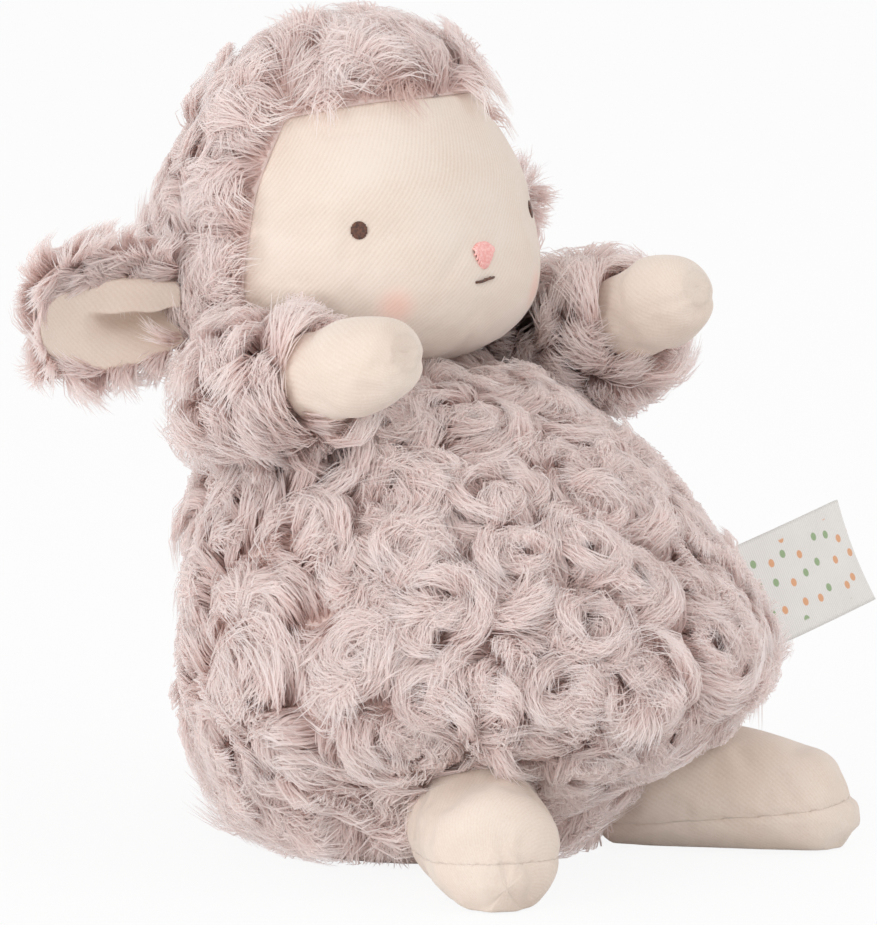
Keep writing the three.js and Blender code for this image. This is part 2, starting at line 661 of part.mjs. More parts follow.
// Feet, which turn on their ankle seams
function buildFoot(side) {
  const way = side === "left" ? 1 : -1;
  const turn = way * FOOT_ANGLE[side];
  const ankle = bodyForm.seat(HIP_HEIGHT, turn).at.setZ(0);
  const forward = new THREE.Vector3(Math.sin(radians(turn)), -Math.cos(radians(turn)), 0);
  const across = new THREE.Vector3().crossVectors(Z_AXIS, forward);
  const placing = standing(ankle, across, Z_AXIS, forward);
  const reach = FOOT_REACH[side];
  const instep = INSTEP_HEIGHT[side];
  const toe = TOE_HEIGHT[side];
  const station = (fromToe, across, height) => {
    const deep = (height + SOLE_FLATTENED) / 2;
    return { along: reach - FOOT_LENGTH * fromToe, across, deep, shift: height - deep };
  };
  const form = new StuffedForm(
    [
      station(1, FOOT_HALF_WIDTH * 0.6, instep * 0.7),
      station(0.81, FOOT_HALF_WIDTH * 0.95, instep),
      station(0.52, FOOT_HALF_WIDTH, instep),
      station(0.26, FOOT_HALF_WIDTH, between(instep, toe, 0.5)),
      station(0.1, FOOT_HALF_WIDTH * 0.84, toe),
      station(0, FOOT_HALF_WIDTH * 0.36, toe * 0.6),
    ],
    LIMB_SIDES,
    LIMB_RINGS,
    placing,
  );
  const seamLean = Math.atan2(TOE_SEAM_HEIGHT - HEEL_SEAM_HEIGHT, FOOT_LENGTH);
  const seamUpward = Z_AXIS.clone().applyAxisAngle(across, -seamLean);
  const seam = (gap) => {
    const end = ankle.clone().addScaledVector(forward, reach);
    return end.setZ(TOE_SEAM_HEIGHT + gap);
  };
  const taken = room(poses(bodyForm.geometry(SWING_GAP), ankle, Z_AXIS, -FOOT_TURN, FOOT_TURN));
  const above = (height) => halfSpace(new THREE.Vector3(0, 0, height), Z_AXIS);
  const inner = form.solid(-VELOUR).intersect(above(VELOUR));
  const shell = form.solid().intersect(above(0)).subtract(inner).subtract(taken);
  const stuffing = form.solid(-VELOUR - CLEARANCE).intersect(above(VELOUR + CLEARANCE));
  const group = jointGroup(lamb, ankle);
  velour(group, `${side}_foot_upper`, shell.intersect(halfSpace(seam(SEAM_GAP / 2), seamUpward)));
  velour(group, `${side}_foot_sole`, shell.subtract(halfSpace(seam(-SEAM_GAP / 2), seamUpward)));
  fibre(group, `${side}_foot_stuffing`, stuffing.subtract(taken));
}

// The label: one strip of ribbon folded double, with both ends sewn into the side seam
function buildLabel() {
  const half = LABEL_LOOP / 2 + LABEL_LAYER;
  const fold = LABEL_LENGTH - half;
  const strip = new THREE.Shape();
  strip.moveTo(-LABEL_SEWN_IN, -half);
  strip.absarc(fold, 0, half, -Math.PI / 2, Math.PI / 2, false);
  strip.lineTo(-LABEL_SEWN_IN, half);
  strip.lineTo(-LABEL_SEWN_IN, LABEL_LOOP / 2);
  strip.absarc(fold, 0, LABEL_LOOP / 2, Math.PI / 2, -Math.PI / 2, true);
  strip.lineTo(-LABEL_SEWN_IN, -LABEL_LOOP / 2);
  strip.closePath();
  const ribbon = extruded(strip, { depth: LABEL_WIDTH, bevelEnabled: false, curveSegments: 6 });
  const tilt = radians(LABEL_TILT);
  const length = X_AXIS.clone().multiplyScalar(Math.cos(tilt)).addScaledVector(seamUp, Math.sin(tilt));
  const width = seamUp.clone().multiplyScalar(Math.cos(tilt)).addScaledVector(X_AXIS, -Math.sin(tilt));
  const thickness = new THREE.Vector3().crossVectors(width, length);
  const pivot = sideSeam.at;
  ribbon.translate(0, 0, -LABEL_WIDTH / 2).applyMatrix4(standing(pivot, length, thickness, width));
  const taken = room(poses(bodyForm.geometry(SWING_GAP), pivot, seamUp, -LABEL_SWING, LABEL_SWING));
  const group = jointGroup(lamb, pivot);
  piece(group, "label", solid(ribbon).subtract(taken), 0xe6e2de, 0.6);
}

buildBody();
const head = jointGroup(lamb, neck);
buildHead(head);
buildEmbroidery(head);
for (const side of ["right", "left"]) {
  buildEar(head, side);
  buildArm(side);
  buildFoot(side);
}
buildLabel();

export default lamb;
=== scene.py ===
"""A stuffed plush lamb: swirled pile, velour, embroidery and a loop label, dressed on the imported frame."""

import json
import math
from functools import partialmethod

import bmesh
import bpy
import numpy as np
from mathutils import Matrix, Vector
from mathutils.bvhtree import BVHTree


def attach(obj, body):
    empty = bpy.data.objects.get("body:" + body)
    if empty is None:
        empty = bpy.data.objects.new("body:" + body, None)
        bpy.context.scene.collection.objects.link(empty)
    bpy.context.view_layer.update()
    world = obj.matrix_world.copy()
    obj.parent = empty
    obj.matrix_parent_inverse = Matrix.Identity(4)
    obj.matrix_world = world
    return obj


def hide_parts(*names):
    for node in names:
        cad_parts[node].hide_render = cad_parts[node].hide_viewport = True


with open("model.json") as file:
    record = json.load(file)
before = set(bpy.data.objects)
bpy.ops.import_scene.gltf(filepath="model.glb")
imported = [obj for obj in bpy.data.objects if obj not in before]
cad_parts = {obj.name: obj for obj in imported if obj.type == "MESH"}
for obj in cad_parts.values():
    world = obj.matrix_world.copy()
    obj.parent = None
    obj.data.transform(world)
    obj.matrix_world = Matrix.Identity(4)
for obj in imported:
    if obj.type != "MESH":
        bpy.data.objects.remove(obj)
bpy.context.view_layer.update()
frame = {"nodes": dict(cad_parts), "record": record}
NODES = frame["nodes"]
MM = 0.001
UP = np.array((0.0, 0.0, 1.0))

# Photograph: the camera stands off the lamb's right cheek and looks a little down
FRAME_WIDTH, FRAME_HEIGHT = 877, 925
MM_PER_PIXEL = 0.2
BELLY_SPOT = (0, -10 * MM, 0)
BELLY_PIXEL = (455.8, 839.0)
CAMERA_TURN = -45.0
CAMERA_RISE = 9.0
CAMERA_DISTANCE = 1500 * MM
SENSOR_HEIGHT = 24.0

# Fabrics
PLUSH = 6 * MM
PILE_DEPTH = 4 * MM
VELOUR = 2 * MM
EAR_PLUSH = 4 * MM
EAR_PILE_DEPTH = 2.6 * MM

# Stuffed forms, as in the solids, in millimetres. Each row is a place along, a half width and a shift
BODY_STATIONS = [
    (0, 34, 0), (3, 41.5, -1.2), (10, 46.5, -2), (20.8, 53, -8.7), (34, 59.5, -15.4),
    (47.94, 57.94, -13.723), (61.88, 53.5, -8.95), (75, 47.5, -2.5), (88, 38, 3.5), (94.75, 27, 5.75),
    (97, 16, 8),
]
HEAD_BACK = 19.5
HEAD_HALF_WIDTH = 36
HEAD_STATIONS = [
    (95, 16, HEAD_BACK), (100.13, 27.6, HEAD_BACK), (106.78, 34.4, HEAD_BACK), (114, HEAD_HALF_WIDTH, HEAD_BACK),
    (124, 34.3, HEAD_BACK), (134, 31, HEAD_BACK), (149.5, 20.5, HEAD_BACK), (155.5, 12.25, HEAD_BACK),
    (157.5, 4, HEAD_BACK),
]
SLEEVE_RADIUS = 13.5
SLEEVE_LENGTH = {"right": 23, "left": 28}
CORE_RADIUS = 6.8
ARM_TIP = 43.5
PAW_FULLNESS = 1.1
FOOT_REACH = {"right": 30.6, "left": 38.9}
FOOT_LENGTH = 48
FOOT_HALF_WIDTH = 13
INSTEP_HEIGHT = {"right": 25, "left": 23}
TOE_HEIGHT = {"right": 21, "left": 17.5}
SOLE_FLATTENED = 2
FOOT_ANGLE = {"right": 33.8, "left": 37.3}
ARM_RISE = {"right": 17, "left": 23}
EAR_LENGTH = 36
EAR_HALF_WIDTH = 12.5
EAR_ROOT_HALF_WIDTH = 6.5
EAR_CUP = 7
EAR_SWEEP = {"right": 14, "left": 22}
EAR_DROOP = {"right": 2, "left": -6}
EAR_SINK = 3
EAR_ANGLE = 97
EAR_HEIGHT = 108.5
SIDES = {"right": -1, "left": 1}
JOINTS = {joint["name"]: joint for joint in frame["record"]["behaviour"]["joints"]}


def colour(red, green, blue):
    """A linear colour from one as it looks on screen, 0 to 255."""
    def linear(share):
        return share / 12.92 if share <= 0.04045 else ((share + 0.055) / 1.055) ** 2.4
    return tuple(linear(value / 255) for value in (red, green, blue)) + (1.0,)


# Camera

def stand_camera():
    """Stand the camera so that the belly's spot falls on its pixel of the photograph."""
    turn, rise = math.radians(CAMERA_TURN), math.radians(CAMERA_RISE)
    forward = Vector((-math.sin(turn) * math.cos(rise), math.cos(turn) * math.cos(rise), -math.sin(rise)))
    right = forward.cross(Vector(UP)).normalized()
    up = right.cross(forward)
    pixel = MM_PER_PIXEL * MM
    aim = (Vector(BELLY_SPOT) + right * ((FRAME_WIDTH / 2 - BELLY_PIXEL[0]) * pixel)
           + up * ((BELLY_PIXEL[1] - FRAME_HEIGHT / 2) * pixel))
    lens = bpy.data.cameras.new("camera")
    lens.sensor_fit = "VERTICAL"
    lens.sensor_height = SENSOR_HEIGHT
    lens.lens = SENSOR_HEIGHT * CAMERA_DISTANCE / (FRAME_HEIGHT * pixel)
    lens.clip_start, lens.clip_end = 0.05, 20
    camera = bpy.data.objects.new("camera", lens)
    bpy.context.scene.collection.objects.link(camera)
    camera.matrix_world = Matrix.Translation(aim - forward * CAMERA_DISTANCE) @ Matrix(
        (right, up, -forward)).transposed().to_4x4()
    bpy.context.scene.camera = camera


stand_camera()


# Node trees as expressions

class Value:
    """A socket that takes part in expressions: each operator adds its node."""

    def __init__(self, net, socket):
        self.net = net
        self.socket = socket

    @property
    def is_vector(self):
        return self.socket.type in {"VECTOR", "RGBA"}

    def join(self, operation, other, swapped=False):
        pair = (other, self) if swapped else (self, other)
        flags = [value.is_vector if isinstance(value, Value) else hasattr(value, "__len__") for value in pair]
        if not any(flags):
            return self.net.node("ShaderNodeMath", {"operation": operation}, {0: pair[0], 1: pair[1]})
        if operation == "MULTIPLY" and not all(flags):
            vector, scale = pair if flags[0] else pair[::-1]
            return self.net.node("ShaderNodeVectorMath", {"operation": "SCALE"}, {0: vector, "Scale": scale})
        return self.net.node("ShaderNodeVectorMath", {"operation": operation}, {0: pair[0], 1: pair[1]})

    __add__ = partialmethod(join, "ADD")
    __radd__ = partialmethod(join, "ADD", swapped=True)
    __sub__ = partialmethod(join, "SUBTRACT")
    __rsub__ = partialmethod(join, "SUBTRACT", swapped=True)
    __mul__ = partialmethod(join, "MULTIPLY")
    __rmul__ = partialmethod(join, "MULTIPLY", swapped=True)
    __truediv__ = partialmethod(join, "DIVIDE")
    __rtruediv__ = partialmethod(join, "DIVIDE", swapped=True)
    __pow__ = partialmethod(join, "POWER")
    least = partialmethod(join, "MINIMUM")
    most = partialmethod(join, "MAXIMUM")
    above = partialmethod(join, "GREATER_THAN")
    cross = partialmethod(join, "CROSS_PRODUCT")

    def sine(self):
        return self.net.node("ShaderNodeMath", {"operation": "SINE"}, {0: self})

    def unit(self):
        return self.net.node("ShaderNodeVectorMath", {"operation": "NORMALIZE"}, {0: self})

    def length(self):
        return self.net.node("ShaderNodeVectorMath", {"operation": "LENGTH"}, {0: self}, "Value")

    def dot(self, other):
        return self.net.node("ShaderNodeVectorMath", {"operation": "DOT_PRODUCT"}, {0: self, 1: other}, "Value")

    def part(self, axis):
        """One of the three numbers of a vector."""
        return self.net.node("ShaderNodeSeparateXYZ", None, {"Vector": self}, axis)

    def turned(self, axis, angle):
        return self.net.node("ShaderNodeVectorRotate", {"rotation_type": "AXIS_ANGLE"}, {
            "Vector": self, "Axis": axis, "Angle": angle})

    def rise(self, low, high, to_low=0.0, to_high=1.0):
        """A smooth step of this value from one place to another."""
        return self.net.node("ShaderNodeMapRange", {"interpolation_type": "SMOOTHSTEP"}, {
            "Value": self, "From Min": low, "From Max": high, "To Min": to_low, "To Max": to_high})


class Net:
    """A node tree that is built by calls."""

    def __init__(self, tree):
        self.tree = tree

    def node(self, kind, settings=None, sockets=None, output=0):
        made = self.tree.nodes.new(kind)
        for name, value in (settings or {}).items():
            if name == "stops":
                ramp = made.color_ramp.elements
                while len(ramp) < len(value):
                    ramp.new(0.5)
                for stop, (place, tint) in zip(ramp, value):
                    stop.position, stop.color = place, tint
            else:
                setattr(made, name, value)
        for name, value in (sockets or {}).items():
            self.feed(self.find(made.inputs, name), value)
        if output is None:
            return made
        return Value(self, self.find(made.outputs, output))

    @staticmethod
    def find(sockets, name):
        if isinstance(name, int):
            return [socket for socket in sockets if socket.enabled][name]
        return next(socket for socket in sockets if socket.name == name and socket.enabled)

    def feed(self, socket, value):
        if isinstance(value, Value):
            self.tree.links.new(value.socket, socket)
        else:
            socket.default_value = value

    def mix(self, factor, first, second):
        return self.node("ShaderNodeMix", {"data_type": "RGBA"}, {"Factor": factor, "A": first, "B": second})

    def blend(self, factor, first, second):
        return self.node("ShaderNodeMix", {"data_type": "VECTOR"}, {"Factor": factor, "A": first, "B": second})


# Materials

def finish_material(name, build):
    """A material whose nodes are added by build(net, shader)."""
    material = bpy.data.materials.new(name)
    material.use_nodes = True
    net = Net(material.node_tree)
    shader = next(node for node in material.node_tree.nodes if node.type == "BSDF_PRINCIPLED")
    build(net, shader)
    return material


def paint(net, shader, tint):
    net.feed(shader.inputs["Base Color"], tint)


def soft(shader, roughness, sheen=0.0, sheen_roughness=0.5):
    """The finish of cloth or thread, the same all over."""
    shader.inputs["Roughness"].default_value = roughness
    shader.inputs["Sheen Weight"].default_value = sheen
    shader.inputs["Sheen Roughness"].default_value = sheen_roughness


def mottled(net, shader, pattern, deep, light, roughness, sheen=0.0):
    paint(net, shader, net.mix(pattern, deep, light))
    soft(shader, roughness, sheen)


def mixed_with(net, shader, factor, other):
    """Mix another shader into a material."""
    mixed = net.node("ShaderNodeMixShader", None, {0: factor, 1: Value(net, shader.outputs[0]), 2: other})
    output = next(node for node in net.tree.nodes if node.type == "OUTPUT_MATERIAL")
    net.feed(output.inputs["Surface"], mixed)


def seen_directly(net):
    """1 for rays from the camera, a reflection or glass, and 0 for rays that light the lamb."""
    path = net.node("ShaderNodeLightPath", None, None, None)
    camera, glossy, through = (Value(net, path.outputs[f"Is {kind} Ray"])
                               for kind in ("Camera", "Glossy", "Transmission"))
    return camera.most(glossy).most(through)


def texture_place(net):
    return net.node("ShaderNodeTexCoord", None, None, "Object")


def flat_place(net, name):
    """Where a point is on one of the flat maps of its piece."""
    return net.node("ShaderNodeUVMap", {"uv_map": name}, None, "UV")


def noise(net, scale, detail=2.0, place=None):
    return net.node("ShaderNodeTexNoise", None, {
        "Vector": place or texture_place(net), "Scale": scale, "Detail": detail})


def bump(net, shader, height, strength, distance):
    net.feed(shader.inputs["Normal"], net.node("ShaderNodeBump", None, {
        "Strength": strength, "Distance": distance, "Height": height}))


PILE_ROOT = colour(228, 206, 200)
PILE_MIDDLE = colour(250, 239, 236)
PILE_TIP = colour(255, 250, 249)
# The dark pile tint: for locks that are darker at random, and for painted shade in the hollow round each rosette's
# heart
PILE_DARK_AND_HOLLOW_SHADE = colour(228, 207, 201)
PILE_SHEEN = colour(253, 246, 243)
PILE_SEE_THROUGH = 0.55
PILE_LANE = 0.12
PILE_LANE_START = 0.05


def plush_pile(net, shader):
    """Strands that are dark at the root and pale at the tip. Their map gives tone across, darker near rosette
    hearts as painted shade, and length up.
    """
    lane = flat_place(net, "OFBake")
    along = (lane.part("Y") - PILE_LANE_START) / PILE_LANE
    length = net.node("ShaderNodeValToRGB", {"stops": [
        (0.0, PILE_ROOT), (0.45, PILE_MIDDLE), (1.0, PILE_TIP)]}, {"Fac": along})
    tint = net.mix(lane.part("X").rise(0.0, 0.5), PILE_DARK_AND_HOLLOW_SHADE, length)
    paint(net, shader, tint)
    soft(shader, 0.75, 0.42)
    shader.inputs["Specular IOR Level"].default_value = 0.2
    shader.inputs["Sheen Tint"].default_value = PILE_SHEEN
    mixed_with(net, shader, PILE_SEE_THROUGH, net.node("ShaderNodeBsdfTranslucent", None, {"Color": tint}))


RIB_PITCH = 0.85 * MM
RIB_SLOPE = math.radians(38)
CREAM = colour(235, 221, 209)
CREAM_SHADE = colour(222, 202, 186)
BLUSH = colour(246, 196, 180)
CHEEK_RADIUS = 5.6 * MM


def velour_weave(net, shader, base, shade, place, rib):
    """Short cut pile with fine ribs: its colour, and the height of its nap."""
    ribs = net.node("ShaderNodeTexWave", {"wave_type": "BANDS", "bands_direction": "X"}, {
        "Vector": net.node("ShaderNodeMapping", None, {"Vector": place, "Rotation": (0, 0, RIB_SLOPE)}),
        "Scale": 2 * math.pi / 20 / RIB_PITCH, "Distortion": 1.1, "Detail": 2.0, "Detail Scale": 0.9}, "Fac")
    grain = texture_place(net)
    nap = noise(net, 2400.0, 2.0, grain)
    cloud = noise(net, 55.0, 3.0, grain)
    tint = net.mix((cloud * 0.6 + ribs * (0.16 * rib) + nap * 0.35).rise(0.2, 0.75), shade, base)
    soft(shader, 0.9, 0.3, 0.45)
    bump(net, shader, ribs * (0.4 * rib) + nap * 0.6, 0.45, 0.2 * MM)
    return tint


def cream_velour(net, shader, rib=0.5):
    tint = velour_weave(net, shader, CREAM, CREAM_SHADE, flat_place(net, "cloth"), rib)
    paint(net, shader, tint)
    return tint


def face_velour(cheeks):
    """Cream velour with airbrushed cheeks round the given points."""
    def build(net, shader):
        tint = cream_velour(net, shader, 1.0)
        place = texture_place(net)
        for cheek in cheeks:
            reach = (place - tuple(cheek)).length()
            tint = net.mix(reach.rise(CHEEK_RADIUS * 0.1, CHEEK_RADIUS, 0.6, 0.0), tint, BLUSH)
        paint(net, shader, tint)
    return build


def seat_velour(net, shader):
    paint(net, shader, velour_weave(
        net, shader, colour(205, 186, 179), colour(186, 164, 157), texture_place(net), 0.5))


def plush_backing(net, shader):
    """The knitted ground that the pile stands on."""
    mottled(net, shader, noise(net, 220.0, 3.0), colour(212, 188, 180), colour(228, 206, 199), 0.95)
    bump(net, shader, noise(net, 900.0), 0.5, 0.4 * MM)


def satin_thread(deep, light):
    """Glossy embroidery thread, with the twist of its plies."""
    def build(net, shader):
        mottled(net, shader, noise(net, 1800.0).rise(0.3, 0.7), deep, light, 0.42, 0.15)
        bump(net, shader, noise(net, 4200.0), 0.3, 0.1 * MM)
    return build


def fibre_filling(net, shader):
    fibres = noise(net, 700.0, 4.0)
    mottled(net, shader, fibres, colour(228, 227, 222), colour(250, 250, 247), 1.0)
    bump(net, shader, fibres, 0.8, 0.8 * MM)


def bag_cloth(net, shader):
    weave = net.node("ShaderNodeTexChecker", None, {
        "Vector": texture_place(net), "Scale": 1600.0}, "Fac")
    mottled(net, shader, weave * 0.4 + noise(net, 90.0) * 0.6, colour(214, 207, 192), colour(238, 233, 222), 0.92)
    bump(net, shader, weave, 0.4, 0.2 * MM)


def label_ribbon(net, shader):
    """White satin ribbon, with a plain scatter of small dots in two colours."""
    lane = flat_place(net, "ribbon")
    threads = net.node("ShaderNodeTexWave", {"wave_type": "BANDS", "bands_direction": "Y"}, {
        "Vector": lane, "Scale": 46.0, "Distortion": 0.2}, "Fac")
    ground = net.mix(threads * 0.5 + noise(net, 120.0) * 0.5, colour(216, 211, 206), colour(238, 235, 231))
    dots = net.node("ShaderNodeTexVoronoi", {"voronoi_dimensions": "2D"}, {
        "Vector": net.node("ShaderNodeMapping", None, {"Vector": lane, "Scale": (4.5, 18.0, 1.0)}),
        "Scale": 1.0, "Randomness": 0.55}, None)
    reach, chance = (Value(net, dots.outputs[name]) for name in ("Distance", "Color"))
    print_tint = net.mix(chance.part("X").above(0.5), colour(222, 150, 92), colour(128, 160, 104))
    edge = lane.part("X")
    inside = edge.rise(0.1, 0.12) * edge.rise(0.88, 0.9, 1.0, 0.0)
    paint(net, shader, net.mix(reach.rise(0.15, 0.2, 0.85, 0.0) * inside, ground, print_tint))
    soft(shader, 0.55, 0.2)
    bump(net, shader, threads, 0.25, 0.1 * MM)


# Meshes

def link(name, mesh, material=None):
    piece = bpy.data.objects.new(name, mesh)
    bpy.context.scene.collection.objects.link(piece)
    if material:
        mesh.materials.clear()
        mesh.materials.append(material)
    return piece


def mesh_piece(name, points, faces, material=None, cloth=None, lap=None, layer="cloth"):
    """A mesh from points and faces. cloth gives each point's place on the flat cloth, and lap is how far
    round the cloth comes back to where it started."""
    mesh = bpy.data.meshes.new(name)
    mesh.from_pydata([tuple(point) for point in points], [], [tuple(face) for face in faces])
    mesh.update()
    if len(faces):
        mesh.polygons.foreach_set("use_smooth", [True] * len(faces))
    if cloth is not None:
        corners = cloth[np.asarray(faces)].copy()
        if lap is not None:
            spread = corners[:, :, 0].max(axis=1, keepdims=True) - corners[:, :, 0]
            corners[:, :, 0] += np.where(spread > lap / 2, lap, 0.0)
        mesh.uv_layers.new(name=layer).data.foreach_set("uv", corners.astype(np.float32).ravel())
    return link(name, mesh, material)


def settled(piece):
    """The piece with its modifiers made part of its mesh."""
    bpy.context.view_layer.update()
    graph = bpy.context.evaluated_depsgraph_get()
    mesh = bpy.data.meshes.new_from_object(piece.evaluated_get(graph))
    old = piece.data
    piece.modifiers.clear()
    piece.data = mesh
    mesh.name = piece.name
    if old.users == 0:
        bpy.data.meshes.remove(old)
    return piece


def modified(piece, kind, **settings):
    modifier = piece.modifiers.new(kind.lower(), kind)
    for name, value in settings.items():
        setattr(modifier, name, value)
    return modifier


def discard(piece):
    mesh = piece.data
    bpy.data.objects.remove(piece)
    if mesh.users == 0:
        bpy.data.meshes.remove(mesh)


def coordinates(piece, kind="co"):
    found = np.empty(len(piece.data.vertices) * 3)
    piece.data.vertices.foreach_get(kind, found)
    return found.reshape(-1, 3)


def set_coordinates(piece, points):
    piece.data.vertices.foreach_set("co", np.asarray(points, np.float32).ravel())
    piece.data.update()


def normals(piece):
    return coordinates(piece, "normal")


def store(piece, name, values):
    """A number or a vector for each point of a piece."""
    values = np.asarray(values, np.float32)
    kind, key = ("FLOAT", "value") if values.ndim == 1 else ("FLOAT_VECTOR", "vector")
    piece.data.attributes.new(name, kind, "POINT").data.foreach_set(key, values.ravel())


def tree_of(*names):
    """A search tree over the faces of some CAD nodes."""
    points, faces = [], []
    for name in names:
        mesh = NODES[name].data
        start = len(points)
        points += [vertex.co.copy() for vertex in mesh.vertices]
        faces += [[start + corner for corner in polygon.vertices] for polygon in mesh.polygons]
    return BVHTree.FromPolygons(points, faces)


def gaps(tree, points):
    """How far each point is from a search tree's faces."""
    return np.array([tree.find_nearest(Vector(point))[3] for point in points])


def unit(vectors):
    return vectors / np.maximum(np.linalg.norm(vectors, axis=1), 1e-6)[:, None]


def smooth_step(values, low, high):
    share = np.clip((values - low) / (high - low), 0, 1)
    return share * share * (3 - 2 * share)


# Stuffed forms

def catmull(rows, share):
    """A smooth curve through rows, at shares of its length from 0 to 1."""
    rows = np.asarray(rows, float)
    place = np.clip(share, 0, 1) * (len(rows) - 1)
    start = np.minimum(place.astype(int), len(rows) - 2)
    weight = (place - start)[..., None]
    held = np.vstack([2 * rows[0] - rows[1], rows, 2 * rows[-1] - rows[-2]])
    before, first, second, after = (held[start + step] for step in range(4))
    leave, arrive = (second - before) / 2, (after - first) / 2
    return ((2 * first - 2 * second + leave + arrive) * weight ** 3
            + (-3 * first + 3 * second - 2 * leave - arrive) * weight ** 2 + leave * weight + first)


class StuffedForm:
    """Ellipses strung along local +Z, with their middles shifted along local +Y. Each station is a place along,
    a half width, a half depth if that differs, and a shift."""

    def __init__(self, stations, placing=None):
        rows = [row if len(row) == 4 else (row[0], row[1], row[1], row[2]) for row in stations]
        self.rows = np.array(rows, float) * MM
        self.placing = np.eye(4) if placing is None else np.array(placing)
        self.bulge = 0.35 * self.rows[-1, 1]

    def points(self, share, angle, grow=0.0):
        """Points on the form. Shares from 1 to 2 are on the rounded end."""
        along, across, deep, shift = np.moveaxis(catmull(self.rows, share), -1, 0)
        low, high = self.rows[0, 0], self.rows[-1, 0]
        stretch = 1 + 2 * grow / (high - low)
        end = np.clip(share - 1, 0, 1) * math.pi / 2
        local = np.stack([(across + grow) * np.cos(end) * np.sin(angle),
                          shift - (deep + grow) * np.cos(end) * np.cos(angle),
                          low - grow + (along - low) * stretch + self.bulge * np.sin(end)], -1)
        return local @ self.placing[:3, :3].T + self.placing[:3, 3]

    def side_run(self, count):
        """Shares of the length, and how far along the side of the form each is."""
        fine = np.linspace(0, 1, count)
        track = self.points(fine, np.full(count, math.pi / 2))
        return fine, np.concatenate([[0], np.cumsum(np.linalg.norm(np.diff(track, axis=0), axis=1))])

    def shares(self, step):
        """Shares of the length that are evenly spaced over the surface."""
        fine, run = self.side_run(600)
        count = max(6, int(round(run[-1] / step)))
        return np.interp(np.linspace(0, run[-1], count + 1), run, fine)

    def grid(self, step, closed=False):
        """Rows of points round the form, and the faces between them, with the far end open or closed."""
        shares = self.shares(step)
        if closed:
            count = max(3, int(round(self.rows[-1, 1] / step)))
            shares = np.concatenate([shares, 1 + np.arange(1, count + 1) / (count + 0.35)])
        widest = self.rows[:, 1:3].max()
        around = max(12, int(round(2 * math.pi * widest / step)))
        share, angle = np.meshgrid(shares, math.pi + np.arange(around) / around * 2 * math.pi, indexing="ij")
        corner = np.arange(share.size).reshape(share.shape)
        beside = np.roll(corner, -1, axis=1)
        faces = np.stack([corner[:-1], beside[:-1], beside[1:], corner[1:]], -1).reshape(-1, 4)
        return share.ravel(), angle.ravel(), faces

    def cloth(self, share, angle):
        """Each point's place on the flat cloth, and how far round the cloth goes."""
        girth = self.rows[:, 1:3].max()
        run = self.side_run(200)[1][-1]
        return np.stack([(angle - math.pi) * girth, share * run], -1), 2 * math.pi * girth

    def seat(self, height, degrees, grow=0.0):
        """The place on the form at a height and an angle, and the way out from it."""
        fine = np.linspace(0, 1, 4000)
        angle = math.radians(degrees)
        track = self.points(fine, np.full(4000, angle), grow)
        share = fine[np.argmin(np.abs(track[:, 2] - height))]
        at, upper, beside = (self.points(np.array([s]), np.array([a]), grow)[0] for s, a in (
            (share, angle), (share + 1e-3, angle), (share, angle + 1e-3)))
        out = np.cross(beside - at, upper - at)
        return at, out / np.linalg.norm(out)


def chance(seed):
    """A number from 0 to 1 that looks thrown, the same each time."""
    value = math.sin(seed * 12.9898) * 43758.5453
    return value - math.floor(value)


ROSETTE_SPACING = 17
ROSETTE_ROW = 15
ROSETTE_STRAY = 0.8


def rosette_hearts(form, grow, spacing=ROSETTE_SPACING, row_spacing=ROSETTE_ROW):
    """The hearts of a form's rosettes: staggered rows, each heart a little off its row."""
    fine, run = form.side_run(401)
    rows = int(round(run[-1] / MM / row_spacing))
    shares, angles = [], []
    for row in range(rows):
        middle = np.interp((row + 0.5) / rows * run[-1], run, fine)
        girth = 2 * math.pi * catmull(form.rows, np.array([middle]))[0, 1] / MM
        around = max(5, int(round(girth / spacing)))
        for place in range(around):
            seed = row * 97 + place + 1
            off = ROSETTE_STRAY * (chance(seed) - 0.5)
            shares.append(np.interp((row + 0.5 + off) / rows * run[-1], run, fine))
            turn = place + (row % 2) / 2 + ROSETTE_STRAY * (chance(seed + 0.5) - 0.5)
            angles.append(turn / around * 2 * math.pi)
    return form.points(np.array(shares), np.array(angles), grow)


def standing(at, x, y, z):
    placing = np.eye(4)
    placing[:3, 0], placing[:3, 1], placing[:3, 2], placing[:3, 3] = x, y, z, at
    return placing


def pivot(joint):
    return np.array(JOINTS[joint]["pos_m"], float)


def arm_axes(side):
    rise = math.radians(ARM_RISE[side])
    forward = np.array((0, -math.cos(rise), math.sin(rise)))
    up = np.array((0, math.sin(rise), math.cos(rise)))
    return standing(pivot(f"{side}_arm_swing"), (1, 0, 0), up, forward)


def foot_axes(side):
    turn = math.radians(FOOT_ANGLE[side])
    forward = np.array((SIDES[side] * math.sin(turn), -math.cos(turn), 0))
    return standing(pivot(f"{side}_foot_turn"), np.cross(UP, forward), UP, forward)


def foot_station(side, from_toe, across, height):
    deep = (height + SOLE_FLATTENED) / 2
    return FOOT_REACH[side] - FOOT_LENGTH * from_toe, across, deep, height - deep


